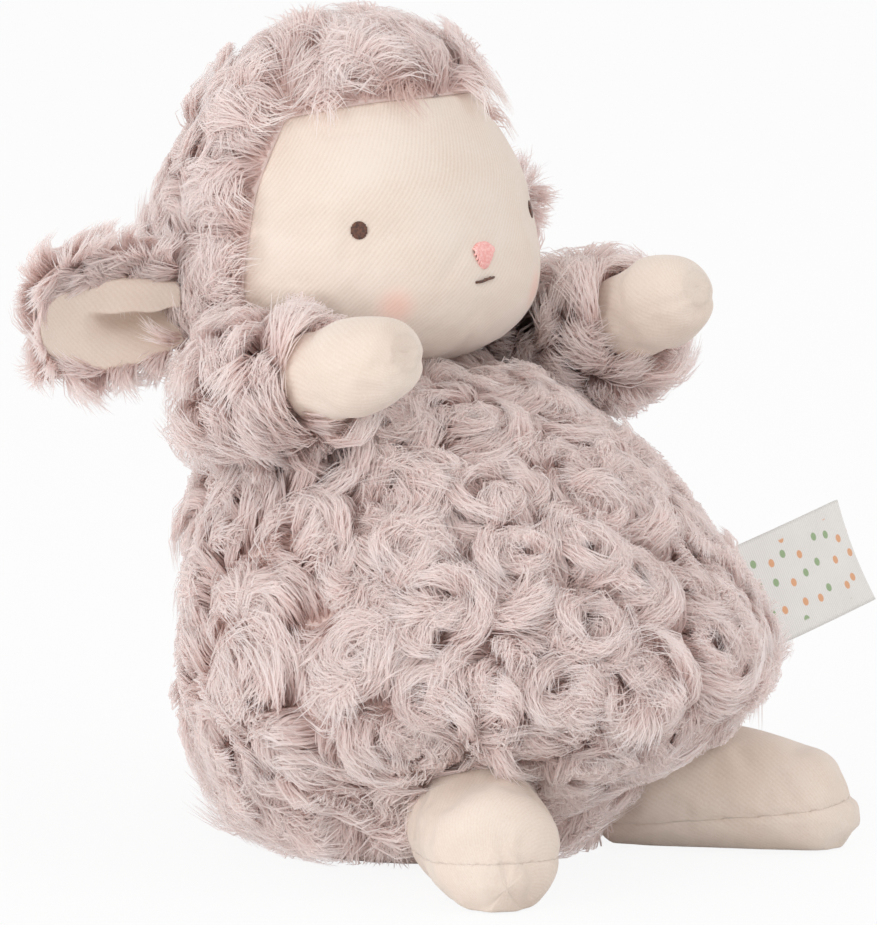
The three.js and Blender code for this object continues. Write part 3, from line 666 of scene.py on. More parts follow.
body_form = StuffedForm(BODY_STATIONS)
head_form = StuffedForm(HEAD_STATIONS)
sleeve_forms = {side: StuffedForm([
    (-SLEEVE_RADIUS, SLEEVE_RADIUS * 0.35, 0), (-SLEEVE_RADIUS * 0.7, SLEEVE_RADIUS * 0.78, 0),
    (0, SLEEVE_RADIUS, 0), (SLEEVE_LENGTH[side] * 0.6, SLEEVE_RADIUS, 0),
    (SLEEVE_LENGTH[side], SLEEVE_RADIUS * 0.85, 0)], arm_axes(side)) for side in SIDES}
paw_forms = {side: StuffedForm([
    (-CORE_RADIUS, CORE_RADIUS * 0.4, 0), (-CORE_RADIUS * 0.6, CORE_RADIUS * 0.8, 0), (0, CORE_RADIUS, 0),
    (SLEEVE_LENGTH[side], CORE_RADIUS, 0),
    (SLEEVE_LENGTH[side] * 0.6 + ARM_TIP * 0.4, CORE_RADIUS * PAW_FULLNESS, 0),
    (ARM_TIP - CORE_RADIUS * 0.4, CORE_RADIUS * 0.78, 0), (ARM_TIP, CORE_RADIUS * 0.3, 0)],
    arm_axes(side)) for side in SIDES}
foot_forms = {side: StuffedForm([
    foot_station(side, 1, FOOT_HALF_WIDTH * 0.6, INSTEP_HEIGHT[side] * 0.7),
    foot_station(side, 0.81, FOOT_HALF_WIDTH * 0.95, INSTEP_HEIGHT[side]),
    foot_station(side, 0.52, FOOT_HALF_WIDTH, INSTEP_HEIGHT[side]),
    foot_station(side, 0.26, FOOT_HALF_WIDTH, (INSTEP_HEIGHT[side] + TOE_HEIGHT[side]) / 2),
    foot_station(side, 0.1, FOOT_HALF_WIDTH * 0.84, TOE_HEIGHT[side]),
    foot_station(side, 0, FOOT_HALF_WIDTH * 0.36, TOE_HEIGHT[side] * 0.6)], foot_axes(side)) for side in SIDES}


# The materials, made once
pile_finish = finish_material("plush_pile", plush_pile)
backing_finish = finish_material("plush_backing", plush_backing)
velour_finish = finish_material("cream_velour", cream_velour)
seat_finish = finish_material("seat_velour", seat_velour)
brown_finish = finish_material("brown_thread", satin_thread(colour(62, 30, 16), colour(108, 64, 44)))
pink_finish = finish_material("pink_thread", satin_thread(colour(244, 172, 166), colour(255, 206, 200)))
fibre_finish = finish_material("fibre_filling", fibre_filling)
bag_finish = finish_material("bag_cloth", bag_cloth)
ribbon_finish = finish_material("label_ribbon", label_ribbon)
CHEEK_ANGLE = 31
CHEEK_HEIGHT = 109.5 * MM
face_finish = finish_material("face_velour", face_velour(
    [head_form.seat(CHEEK_HEIGHT, way * CHEEK_ANGLE, VELOUR)[0] for way in (-1, 1)]))


# Pile: strands that swirl round the hearts of rosettes, or lie the way they are combed

SCRATCH = ("root", "lock", "heart", "flow", "out", "chance", "stray", "twist", "lock_chance", "lock_stray",
           "heart_chance", "along", "across", "pile", "comb", "density", "swirl")


def new_tree(name, start, inputs, end):
    """A Geometry Nodes tree with named inputs: its net, and a way to ask for an input."""
    tree = bpy.data.node_groups.new(name, "GeometryNodeTree")
    face = tree.interface
    face.new_socket(start, in_out="INPUT", socket_type="NodeSocketGeometry")
    for kind, labels in inputs.items():
        for label in labels:
            face.new_socket(label, in_out="INPUT", socket_type=f"NodeSocket{kind}")
    face.new_socket(end, in_out="OUTPUT", socket_type="NodeSocketGeometry")
    net = Net(tree)
    given = net.node("NodeGroupInput", None, None, None)
    return net, lambda label: Value(net, net.find(given.outputs, label))


def end_tree(net, value, geometry, scratch, end):
    """Leave the scratch values out, and hand the mesh over in its material."""
    for name in scratch:
        geometry = net.node("GeometryNodeRemoveAttribute", None, {"Geometry": geometry, "Name": name})
    geometry = net.node("GeometryNodeRealizeInstances", None, {"Geometry": geometry})
    geometry = net.node("GeometryNodeSetMaterial", None, {"Geometry": geometry, "Material": value("Finish")})
    net.node("NodeGroupOutput", None, {end: geometry}, None)
    return net.tree


ROSETTE_REACH = 0.62
TIGHTEST_TURN = 3.6 * MM
STRAND_WAVE = 0.3 * MM
LOOK_AHEAD = 0.06


def strand_tree():
    """Flat strands on a backing: each bends round the heart nearest to its lock, or along the comb."""
    net, value = new_tree("swirled_pile", "Backing", {
        "Object": ("Ground", "Hearts"),
        "Float": ("Rosette spacing", "Lock spacing", "Strands per square metre", "Strand length", "Strand width",
                  "Pile height", "Swirl", "Looseness"),
        "Int": ("Strand points", "Layout seed", "Strand seed"), "Material": ("Finish",)}, "Pile")

    def stored(geometry, name, what, kind="FLOAT_VECTOR", domain="POINT"):
        return net.node("GeometryNodeStoreNamedAttribute", {"data_type": kind, "domain": domain}, {
            "Geometry": geometry, "Name": name, "Value": what})

    def named(name, kind="FLOAT_VECTOR"):
        return net.node("GeometryNodeInputNamedAttribute", {"data_type": kind}, {"Name": name})

    def chance(low, high, seed, identity=None, kind="FLOAT"):
        sockets = {"Min": low, "Max": high, "Seed": seed}
        if identity is not None:
            sockets["ID"] = identity
        return net.node("FunctionNodeRandomValue", {"data_type": kind}, sockets)

    def nearest(cloud, place):
        index = net.node("GeometryNodeSampleNearest", None, {"Geometry": cloud, "Sample Position": place})
        at = net.node("GeometryNodeSampleIndex", {"data_type": "FLOAT_VECTOR"}, {
            "Geometry": cloud, "Value": net.node("GeometryNodeInputPosition"), "Index": index})
        return index, at

    def scatter(mesh, spacing, seed):
        return net.node("GeometryNodeDistributePointsOnFaces", {"distribute_method": "POISSON"}, {
            "Mesh": mesh, "Distance Min": spacing, "Density Max": 6.0 / (spacing * spacing),
            "Seed": seed}, "Points")

    layout, strands = value("Layout seed"), value("Strand seed")
    ground = net.node("GeometryNodeObjectInfo", None, {"Object": value("Ground")}, "Geometry")
    hearts = net.node("GeometryNodeObjectInfo", None, {"Object": value("Hearts")}, "Geometry")
    locks = scatter(ground, value("Lock spacing"), layout + 2)
    backing = stored(value("Backing"), "out", net.node("GeometryNodeInputNormal"))
    roots = net.node("GeometryNodeDistributePointsOnFaces", {"distribute_method": "RANDOM"}, {
        "Mesh": backing, "Density": value("Strands per square metre") * named("density", "FLOAT"),
        "Seed": strands}, "Points")

    place = net.node("GeometryNodeInputPosition")
    lock_index, lock = nearest(locks, place)
    heart_index, heart = nearest(hearts, lock)
    flow = chance((-1, -1, -1), (1, 1, 1), layout + 3, heart_index, "FLOAT_VECTOR")
    for name, what in (("root", place), ("lock", lock), ("heart", heart), ("flow", flow)):
        roots = stored(roots, name, what)
    for name, low, high, seed, identity in (
            ("chance", 0.0, 1.0, strands + 4, None), ("stray", -1.0, 1.0, strands + 5, None),
            ("twist", -1.1, 1.1, strands + 6, None), ("lock_chance", 0.0, 1.0, layout + 7, lock_index),
            ("lock_stray", -1.0, 1.0, layout + 8, lock_index), ("heart_chance", 0.0, 1.0, layout + 9, heart_index)):
        roots = stored(roots, name, chance(low, high, seed, identity), "FLOAT")

    strand = net.node("GeometryNodeMeshGrid", None, {
        "Size X": 2.0, "Size Y": 1.0, "Vertices X": 2, "Vertices Y": value("Strand points")}, "Mesh")
    strand = stored(strand, "across", place.part("X"), "FLOAT")
    strand = stored(strand, "along", place.part("Y") + 0.5, "FLOAT")
    planted = net.node("GeometryNodeInstanceOnPoints", None, {"Points": roots, "Instance": strand})
    pile = net.node("GeometryNodeRealizeInstances", None, {"Geometry": planted})

    root, lock, heart = named("root"), named("lock"), named("heart")
    out = named("out").unit()
    along, across = named("along", "FLOAT"), named("across", "FLOAT")
    strand_chance, lock_chance = named("chance", "FLOAT"), named("lock_chance", "FLOAT")
    heart_chance = named("heart_chance", "FLOAT")
    arm = lock - heart
    arm = arm - out * out.dot(arm)
    radius = arm.length()
    share = radius / (value("Rosette spacing") * ROSETTE_REACH)
    relief = share.rise(0.05, 0.5, 0.85, 1.0) * share.rise(0.6, 1.0, 1.0, 0.7)
    length = value("Strand length") * named("pile", "FLOAT") * (
        0.6 + strand_chance * 0.45 + lock_chance * 0.3)
    height = value("Pile height") * named("pile", "FLOAT") * relief * (
        0.5 + strand_chance * 0.4 + lock_chance * 0.2 + (lock_chance ** 4.0) * 0.5 + heart_chance * 0.15)
    stray = (named("lock_stray", "FLOAT") * 0.6 + named("stray", "FLOAT") * 0.4) * value("Looseness")
    curl = named("lock_stray", "FLOAT") * value("Looseness")
    flow = named("flow")
    flow = (flow - out * out.dot(flow)).unit()
    combed = (named("comb") + flow * 0.4).unit()
    swirled = value("Swirl") * named("swirl", "FLOAT") * heart_chance.rise(0.1, 0.9, 0.4, 0.8) * share.rise(
        0.05, 0.42, 0.25, 1.0)
    closing = share.rise(0.1, 0.5, -0.6, 0.12)

    def path(t):
        """The middle of a strand at a share of its length."""
        turn = length * t / radius.most(TIGHTEST_TURN)
        swung = arm.turned(out, turn * (1.0 + stray * 0.4))
        swirl = swung * (1.0 + t * (closing + stray * 0.45)) - arm
        bent = combed.turned(out, stray + curl * t)
        drawn = net.blend(swirled, bent * (length * t), swirl)
        gather = 1.0 - (t ** 1.3) * (0.4 + strand_chance * 0.35)
        lift = height * ((1.0 - (1.0 - t) ** 2.4) - (t ** 3.0) * 0.3)
        return lock + drawn + (root - lock) * gather + out * lift

    middle = path(along)
    run = (path(along + LOOK_AHEAD) - middle).unit()
    sideways = run.cross(out).unit().turned(run, named("twist", "FLOAT"))
    wave = (along * 6.0 + strand_chance * (2 * math.pi)).sine() * along * STRAND_WAVE
    taper = 1.0 - (along ** 3.0) * 0.88
    width = value("Strand width") * taper * (0.7 + strand_chance * 0.6) * 0.5
    shaped = net.node("GeometryNodeSetPosition", None, {
        "Geometry": pile, "Position": (middle + sideways * (across * width + wave)).most((-9.0, -9.0, 0.0))})
    facing = (sideways.cross(run) * 0.15 + (root - lock) / value("Lock spacing") * 0.9 + out * 0.8).unit()
    shaped = net.node("GeometryNodeSetMeshNormal", {"mode": "FREE", "domain": "POINT"}, {
        "Mesh": shaped, "Custom Normal": facing})
    # Each strand's tone: random per strand and per lock, and lower near its rosette's heart as painted shade of the
    # hollow there
    shade = (0.45 + (strand_chance - 0.5) * 0.16 + (lock_chance - 0.5) * 0.5
             + share.rise(0.0, 0.35, -0.3, 0.05)).least(0.97).most(0.03)
    lane = net.node("ShaderNodeCombineXYZ", None, {
        "X": shade + across * 0.002, "Y": along * PILE_LANE + PILE_LANE_START})
    finished = stored(shaped, "OFBake", lane, "FLOAT2", "CORNER")
    return end_tree(net, value, finished, SCRATCH, "Pile")


pile_tree = strand_tree()


def set_inputs(modifier, values):
    sockets = {item.name: item.identifier for item in modifier.node_group.interface.items_tree
               if item.in_out == "INPUT"}
    for name, value in values.items():
        modifier[sockets[name]] = value


STRAND_POINTS = 4


def grow_pile(name, backing, values):
    """The pile of a backing, as a plain mesh of strands."""
    piece = link(name, backing.data.copy())
    piece.data.materials.clear()
    set_inputs(modified(piece, "NODES", node_group=pile_tree), values)
    return settled(piece)


def ground_of(form, grow, bare=None, **spacing):
    """A form's surface without its bare part, and the hearts of the rosettes on it."""
    share, angle, faces = form.grid(2 * MM)
    points = form.points(share, angle, grow)
    if bare:
        faces = faces[(bare(points) > 0)[faces].all(axis=1)]
    return mesh_piece("ground", points, faces), mesh_piece("hearts", rosette_hearts(form, grow, **spacing), [])


def covered(form, nodes, step, outer, reach, rivals=(), closed=False):
    """The part of a form's grid that is near some CAD nodes, and nearer than their rivals: shares, angles and
    faces."""
    share, angle, faces = form.grid(step, closed)
    middles = form.points(share, angle, outer)[faces].mean(axis=1)
    distance = gaps(tree_of(*nodes), middles)
    near = distance < (reach(middles) if callable(reach) else reach)
    if rivals:
        near &= distance <= gaps(tree_of(*rivals), middles)
    kept = faces[near]
    used = np.unique(kept)
    renumber = np.zeros(len(share), int)
    renumber[used] = np.arange(len(used))
    return share[used], angle[used], renumber[kept]


# Panels of plush, and the line where the face is sewn to the hood

FACE_HALF_WIDTH = 38
FACE_TOP_HEIGHT = 149
FACE_DEPTH = 28.5
FACE_BACK = HEAD_BACK - HEAD_HALF_WIDTH + FACE_DEPTH
BROW_FOOT = 114
BROW_SQUARENESS = 3.1


def face_window(points):
    """How far points are outside the line where the face is sewn to the hood."""
    x, y, z = points.T / MM
    rise = np.maximum((z - BROW_FOOT) / (FACE_TOP_HEIGHT - BROW_FOOT), 0)
    brow = ((np.abs(x) / FACE_HALF_WIDTH) ** BROW_SQUARENESS + rise ** BROW_SQUARENESS) ** (1 / BROW_SQUARENESS)
    return np.maximum((brow - 1) * FACE_HALF_WIDTH, y - FACE_BACK) * MM


HOOD_REACH = 3.5 * MM


def sewn_edge(form, share, angle, faces, grow, outside):
    """Bring the border of a piece onto the line that it is sewn along."""
    edges = np.sort(np.vstack([faces[:, [corner, (corner + 1) % 4]] for corner in range(4)]), axis=1)
    edges, uses = np.unique(edges, axis=0, return_counts=True)
    rim = np.unique(edges[uses == 1])
    share, angle = share.copy(), angle.copy()
    long, girth = np.ptp(form.rows[:, 0]) * 1.5, form.rows[:, 1].max()
    for _ in range(8):
        here = outside(form.points(share[rim], angle[rim], grow))
        along = (outside(form.points(share[rim] + 1e-4, angle[rim], grow)) - here) / (1e-4 * long)
        round_ = (outside(form.points(share[rim], angle[rim] + 1e-3, grow)) - here) / (1e-3 * girth)
        move = np.where(np.abs(here) < HOOD_REACH, 0.8 * here, 0) / np.maximum(along ** 2 + round_ ** 2, 0.05)
        share[rim] -= move * along / long
        angle[rim] -= move * round_ / girth
    return share, angle


def dress(piece, body, node):
    """Hang a finished piece on its body, in the place of its CAD node."""
    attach(piece, body)
    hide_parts(node)


BODY_NEIGHBOURS = [f"{side}_{part}" for part in ("arm_sleeve", "foot_upper", "foot_sole") for side in SIDES] + [
    "hood_right", "hood_left", "face"]
HEAD_NEIGHBOURS = ["body_front", "body_back_right", "body_back_left", "right_arm_sleeve", "left_arm_sleeve"]
PRESSED_REACH = 4.0 * MM
BACKING_WALL = 1.0 * MM
LOCK_SPACING = 3.8 * MM
UNDERCOAT = 0.5


def pressed(points, neighbours):
    """How free each point of a fabric is of its neighbours, from 0, touching, to 1."""
    return smooth_step(gaps(tree_of(*neighbours), points), 0.0, PRESSED_REACH)


def furred(backing, node, body, ground, hearts, layout, length, height, density, width,
           rosette=ROSETTE_SPACING * MM, lock=LOCK_SPACING, swirl=1.0, coats=1, wall=BACKING_WALL, fill=0.7):
    """Grow the pile of a backing in one or more coats, and finish the backing as cloth with a wall."""
    for coat in range(coats):
        name = f"{node}_pile" if coats == 1 else f"{node}_pile_{coat + 1}"
        under = UNDERCOAT if coats > 2 and coat == 1 else 1.0
        pile = grow_pile(name, backing, {
            "Ground": ground, "Hearts": hearts, "Rosette spacing": rosette, "Lock spacing": lock,
            "Strands per square metre": density / coats / MM ** 2, "Strand length": length * under,
            "Strand width": width, "Pile height": height, "Swirl": swirl * under,
            "Looseness": 1.0 + 0.7 * (coat % 2), "Strand points": STRAND_POINTS, "Layout seed": layout,
            "Strand seed": layout + 20 * (coat + 1), "Finish": pile_finish})
        dress(pile, body, node)
    for name in ("pile", "density", "comb", "swirl"):
        backing.data.attributes.remove(backing.data.attributes[name])
    modified(backing, "SOLIDIFY", thickness=wall, offset=-1.0)
    settled(backing)
    dress(backing, body, node)


def plush_panel(node, body, form, ground, hearts, outer, inner, reach, comb, step=2.0 * MM, rivals=(), trim=None,
                neighbours=None, edge=None, closed=False, **pile):
    """A panel of swirled plush: its backing and its pile."""
    share, angle, faces = covered(form, [node], step, outer, reach, rivals, closed)
    if edge:
        share, angle = sewn_edge(form, share, angle, faces, outer, edge)
    points = form.points(share, angle, inner)
    backing = mesh_piece(f"{node}_cloth", points, faces, backing_finish)
    long = np.ones(len(points))
    if neighbours:
        long = 0.25 + 0.75 * pressed(form.points(share, angle, outer), neighbours)
    if trim:
        long = long * trim(points)
    way, held = comb(points, normals(backing))
    store(backing, "pile", long)
    store(backing, "density", np.ones(len(points)))
    store(backing, "comb", way)
    store(backing, "swirl", 1 - held)
    furred(backing, node, body, ground, hearts, **pile)


COMBED_SHARE = 0.9
HEM_HEIGHTS = 9 * MM, 24 * MM
BROW_REACH = 5 * MM, 20 * MM
PROBE = 0.1 * MM
COLLAR_HEIGHT = 78 * MM


def hem_comb(points, out):
    """Body pile hangs to the floor round the seat, and swirls above."""
    held = 1 - smooth_step(points[:, 2], *HEM_HEIGHTS)
    return unit(out * out[:, 2:] - UP) * held[:, None], held * COMBED_SHARE


def brow_comb(points, out):
    """Hood pile is brushed away from the face, and swirls further off."""
    reach = face_window(points)
    away = np.stack([face_window(points + step) - reach for step in np.eye(3) * PROBE], -1) / PROBE
    away = away + UP * 0.4
    away = away - out * (out * away).sum(axis=1)[:, None]
    held = 1 - smooth_step(reach, *BROW_REACH)
    return unit(away) * held[:, None], held * COMBED_SHARE


def neck_reach(middles):
    """The body's cloth goes on under the chin."""
    return np.where(middles[:, 2] > COLLAR_HEIGHT, 10 * MM, 4 * MM)


BODY_PILE_DEPTH = 5.2 * MM
BODY_PILE = {"layout": 11, "length": 11.5 * MM, "height": 5.0 * MM, "wall": 0.8 * MM}
BODY_PANELS = {"body_front": {"coats": 4, "density": 8.8, "width": 0.24 * MM},
               "body_back_right": {"coats": 2, "density": 4.0, "width": 0.33 * MM},
               "body_back_left": {"coats": 2, "density": 3.4, "width": 0.36 * MM}}
HOOD_PILE = {"layout": 23, "length": 10 * MM, "height": 4.4 * MM, "coats": 2, "density": 5.6, "width": 0.28 * MM}
HOOD_PANELS = ("hood_right", "hood_left")
HOOD_GROWTH = PLUSH - PILE_DEPTH
body_ground, body_hearts = ground_of(body_form, -BODY_PILE_DEPTH)
head_ground, head_hearts = ground_of(head_form, HOOD_GROWTH, bare=face_window)
for node, pile in BODY_PANELS.items():
    plush_panel(node, "body", body_form, body_ground, body_hearts, 0.0, -BODY_PILE_DEPTH, reach=neck_reach,
                comb=hem_comb, rivals=[other for other in BODY_PANELS if other != node],
                neighbours=BODY_NEIGHBOURS, closed=True, **BODY_PILE, **pile)
for node in HOOD_PANELS:
    plush_panel(node, "head", head_form, head_ground, head_hearts, HOOD_GROWTH, HOOD_GROWTH,
                reach=HOOD_REACH, rivals=[other for other in HOOD_PANELS if other != node] + ["face"],
                comb=brow_comb, neighbours=HEAD_NEIGHBOURS, edge=face_window, **HOOD_PILE)


# Sleeves

def cuff_comb(side):
    """Sleeve pile lies towards the paw, and closes on it at the cuff."""
    axes = arm_axes(side)
    forward = axes[:3, 2]

    def comb(points, out):
        length = SLEEVE_LENGTH[side] * MM
        cuff = smooth_step((points - axes[:3, 3]) @ forward, length * 0.5, length)
        way = forward - out * (out @ forward + 0.6 * cuff)[:, None]
        return unit(way), np.full(len(points), 0.6)
    return comb


def cuff_trim(side):
    """Sleeve pile is longest round the cuff."""
    axes = arm_axes(side)

    def trim(points):
        along = (points - axes[:3, 3]) @ axes[:3, 2]
        return 0.95 + 0.35 * smooth_step(along, 6 * MM, SLEEVE_LENGTH[side] * MM)
    return trim


SLEEVE_ROSETTE = 12
SLEEVE_PILE = {"layout": 37, "length": 10.5 * MM, "height": 7.0 * MM, "density": 7.0, "width": 0.29 * MM,
               "rosette": SLEEVE_ROSETTE * MM}
for side in SIDES:
    ground, hearts = ground_of(sleeve_forms[side], -PILE_DEPTH, spacing=SLEEVE_ROSETTE, row_spacing=11)
    plush_panel(f"{side}_arm_sleeve", f"{side}_arm", sleeve_forms[side], ground, hearts, 0.0, -PILE_DEPTH,
                step=1.2 * MM, reach=4.5 * MM, comb=cuff_comb(side), trim=cuff_trim(side), **SLEEVE_PILE)
    discard(ground)
    discard(hearts)


# Ears

EAR_WIDTHS = [(0.0, EAR_ROOT_HALF_WIDTH), (0.2, 10.1), (0.48, EAR_HALF_WIDTH), (0.72, 12.125), (0.9, 9.25),
              (1.0, 5.0)]
LINING_LENGTH = 0.9
LINING_TIP = 0.65
LINING_LOW = -0.95
LINING_HIGH = 0.55


def ear_points(side, share, across, lift):
    """Points of an ear's leaf: a share of its length, a share of its half width and a lift off its middle."""
    along, half = np.moveaxis(catmull(np.array(EAR_WIDTHS), share), -1, 0)
    cup = EAR_CUP * (half / EAR_HALF_WIDTH) * (1 - 0.5 * share)
    local = np.stack([along * EAR_LENGTH, cup * (1 - across ** 2) + lift, across * half], -1) * MM
    turn = Matrix.Rotation(math.radians(EAR_SWEEP[side]), 3, "Z") @ Matrix.Rotation(
        math.radians(EAR_DROOP[side]), 3, "Y")
    at, out = head_form.seat(EAR_HEIGHT * MM, EAR_ANGLE, PLUSH)
    placed = local @ np.array(turn).T + at - out * EAR_SINK * MM
    return placed * np.array((SIDES[side], 1, 1))


def ear_grid(side, first, last, along_count, across_count):
    """A grid over an ear from one share of its length to another. Its faces look back."""
    share, across = np.meshgrid(np.linspace(first, last, along_count), np.linspace(-1, 1, across_count),
                                indexing="ij")
    corner = np.arange(share.size).reshape(share.shape)
    faces = np.stack([corner[:-1, :-1], corner[1:, :-1], corner[1:, 1:], corner[:-1, 1:]], -1).reshape(-1, 4)
    return share.ravel(), across.ravel(), faces if side == "right" else faces[:, ::-1]


def ear_comb(side, share, across):
    """Ear pile lies towards the tip and out over the rim."""
    tip = ear_points(side, share + 0.02, across, 0.0) - ear_points(side, share - 0.02, across, 0.0)
    wide = ear_points(side, share, across + 0.02, 0.0) - ear_points(side, share, across - 0.02, 0.0)
    return unit(unit(tip) * 0.8 + unit(wide) * (across * 0.9)[:, None])


EAR_FIRST_SHARE, EAR_TIP_SHARE = 0.05, 0.86
EAR_RIM = 0.94
EAR_GRID = 40, 36
LINING_GRID = 32, 42
EAR_PILE = {"layout": 51, "length": 7.5 * MM, "height": 3.2 * MM, "density": 8.0, "width": 0.28 * MM,
            "lock": 2.6 * MM, "swirl": 0.0, "wall": 0.5 * MM, "fill": 0.2}


def build_ear(side):
    """A pouch of plush that is turned in round its front, and a lining that is folded at the root."""
    share, across, faces = ear_grid(side, EAR_FIRST_SHARE, EAR_TIP_SHARE, *EAR_GRID)
    edge = np.clip(1 - across ** 2, 0, 1) ** 0.5
    pouch = 1 - smooth_step(share, 0.3, 0.6)
    back = ear_points(side, share, across * EAR_RIM,
                      0.8 + ((EAR_PLUSH - EAR_PILE_DEPTH) / MM + 1.6 * pouch) * edge)
    front = ear_points(side, share, across * EAR_RIM, -0.1 - 0.5 * edge)
    tip = share > LINING_LENGTH - 0.12
    turned_in = (across > LINING_HIGH - 0.22) | (across < LINING_LOW + 0.3) | tip
    tucked = (across > LINING_LOW + 0.08) & (across < 0) & (share < LINING_LENGTH - 0.12)
    strip = faces[turned_in[faces].all(axis=1)][:, ::-1]
    backing = mesh_piece(f"{side}_ear_outer_cloth", np.vstack([back, front]),
                         np.vstack([faces, strip + len(back)]), backing_finish)
    comb = ear_comb(side, share, across)
    store(backing, "pile", np.tile(0.7 + 0.3 * np.abs(across), 2))
    store(backing, "density", np.concatenate([np.ones(len(back)), np.where(tucked, 0.0, 1.0)]))
    store(backing, "comb", np.vstack([comb, comb]))
    store(backing, "swirl", np.ones(2 * len(back)))
    furred(backing, f"{side}_ear_outer", f"{side}_ear", backing, head_hearts, **EAR_PILE)

    share, across, faces = ear_grid(side, 0.1, 1.0, *LINING_GRID)
    middle = (LINING_LOW + LINING_HIGH) / 2
    half = (LINING_HIGH - LINING_LOW) / 2 * (1 + (LINING_TIP - 1) * share ** 3)
    place, width = share * LINING_LENGTH, middle + half * across
    edge = np.clip(1 - across ** 4, 0, 1) ** 0.5
    folded = 1 - smooth_step(place, 0.28, 0.56)
    lip = smooth_step(width, -0.1, 0.04)
    hollow = np.exp(-((width + 0.22) / 0.3) ** 2) * (1 - lip)
    lift = -0.5 - 1.8 * edge + folded * (4.6 * hollow - 2.0 * lip * edge)
    hem = width - 0.13 * (1 + 0.25 * np.sin(place * 34)) * folded * np.exp(-((width - 0.05) / 0.1) ** 2)
    lining = mesh_piece(f"{side}_ear_lining_cloth", ear_points(side, place, hem, lift),
                        faces[:, ::-1], velour_finish,
                        np.stack([place * EAR_LENGTH, width * EAR_HALF_WIDTH], -1) * MM)
    walled(lining, 0.6 * MM)
    dress(lining, f"{side}_ear", f"{side}_ear_lining")


# Velour pieces

CLOTH_FRAMES = 20
CLOTH_SLACK = 0.02
CLOTH_MASS = 0.2
CLOTH_QUALITY = 6


def stuffed(piece, sewn, cap, pressure):
    """Swell a piece of cloth between the points that its seams hold."""
    group = piece.vertex_groups.new(name="sewn")
    group.add([int(index) for index in np.nonzero(sewn)[0]], 1.0, "REPLACE")
    rest = coordinates(piece)
    cloth = modified(piece, "CLOTH")
    cloth.settings.quality = CLOTH_QUALITY
    cloth.settings.mass = CLOTH_MASS
    cloth.settings.vertex_group_mass = "sewn"
    cloth.settings.use_pressure = True
    cloth.settings.uniform_pressure_force = pressure
    cloth.settings.shrink_min = -CLOTH_SLACK
    cloth.settings.effector_weights.gravity = 0
    cloth.point_cache.frame_start, cloth.point_cache.frame_end = 1, CLOTH_FRAMES
    scene = bpy.context.scene
    for number in range(1, CLOTH_FRAMES + 1):
        scene.frame_set(number)
    graph = bpy.context.evaluated_depsgraph_get()
    swelled = piece.evaluated_get(graph).to_mesh()
    moved = np.empty(len(swelled.vertices) * 3)
    swelled.vertices.foreach_get("co", moved)
    piece.evaluated_get(graph).to_mesh_clear()
    piece.modifiers.clear()
    piece.vertex_groups.clear()
    scene.frame_set(1)
    move = moved.reshape(-1, 3) - rest
    far = np.linalg.norm(move, axis=1)
    set_coordinates(piece, rest + move * np.minimum(1, cap / np.maximum(far, 1e-9))[:, None])


def border(piece):
    """The points on the open edges of a piece."""
    form = bmesh.new()
    form.from_mesh(piece.data)
    found = np.array([vertex.is_boundary for vertex in form.verts])
    form.free()
    return found


def walled(piece, wall=0.8 * MM):
    modified(piece, "SUBSURF", levels=1, render_levels=1)
    modified(piece, "SOLIDIFY", thickness=wall, offset=-1.0)
    settled(piece)


# How narrow each ring of a heel's cap is, and how far back
HEEL_RINGS = ((0.7, 0.6), (0.35, 0.95), (0.02, 1.0))


def velour_form(name, form, nodes, step, grow, reach, heel=0.0):
    """Velour over the part of a form that some nodes cover, closed at its far end, and at a heel if it has one."""
    share, angle, faces = covered(form, nodes, step, grow, reach, closed=True)
    cloth, lap = form.cloth(share, angle)
    points = form.points(share, angle, grow)

    def rim(end):
        found = np.nonzero(share == end)[0]
        return found[np.argsort(angle[found])]

    tip = rim(share.max())
    pole = np.full(len(tip), len(points))
    points = np.vstack([points, points[tip].mean(axis=0)])
    cloth = np.vstack([cloth, cloth[tip].mean(axis=0)])
    quads = np.vstack([faces, np.stack([tip, np.roll(tip, -1), pole, pole], -1)])
    if heel:
        start = ring = rim(share.min())
        middle = points[start].mean(axis=0)
        for narrow, back in HEEL_RINGS:
            inner = len(points) + np.arange(len(start))
            points = np.vstack([points, middle + (points[start] - middle) * narrow
                                - form.placing[:3, 2] * heel * back])
            cloth = np.vstack([cloth, cloth[start] - (0, heel * (1 - narrow))])
            quads = np.vstack([quads, np.stack([ring, inner, np.roll(inner, -1), np.roll(ring, -1)], -1)])
            ring = inner
    piece = mesh_piece(name, points, quads, velour_finish, cloth, lap)
    merged = bmesh.new()
    merged.from_mesh(piece.data)
    bmesh.ops.remove_doubles(merged, verts=merged.verts, dist=1e-7)
    bmesh.ops.dissolve_degenerate(merged, edges=merged.edges, dist=1e-7)
    merged.to_mesh(piece.data)
    merged.free()
    return piece


EYE_HEIGHT, EYE_ANGLE = 124.5, 42
NOSE_HEIGHT, MOUTH_HEIGHT = 118.5, 113.6
# Where stitches hold the face down: height, angle and reach
FACE_STITCHES = [(EYE_HEIGHT, -EYE_ANGLE, 2.4), (EYE_HEIGHT, EYE_ANGLE, 2.4), (NOSE_HEIGHT, 0, 2.8),
                 (MOUTH_HEIGHT, 0, 2.4)]


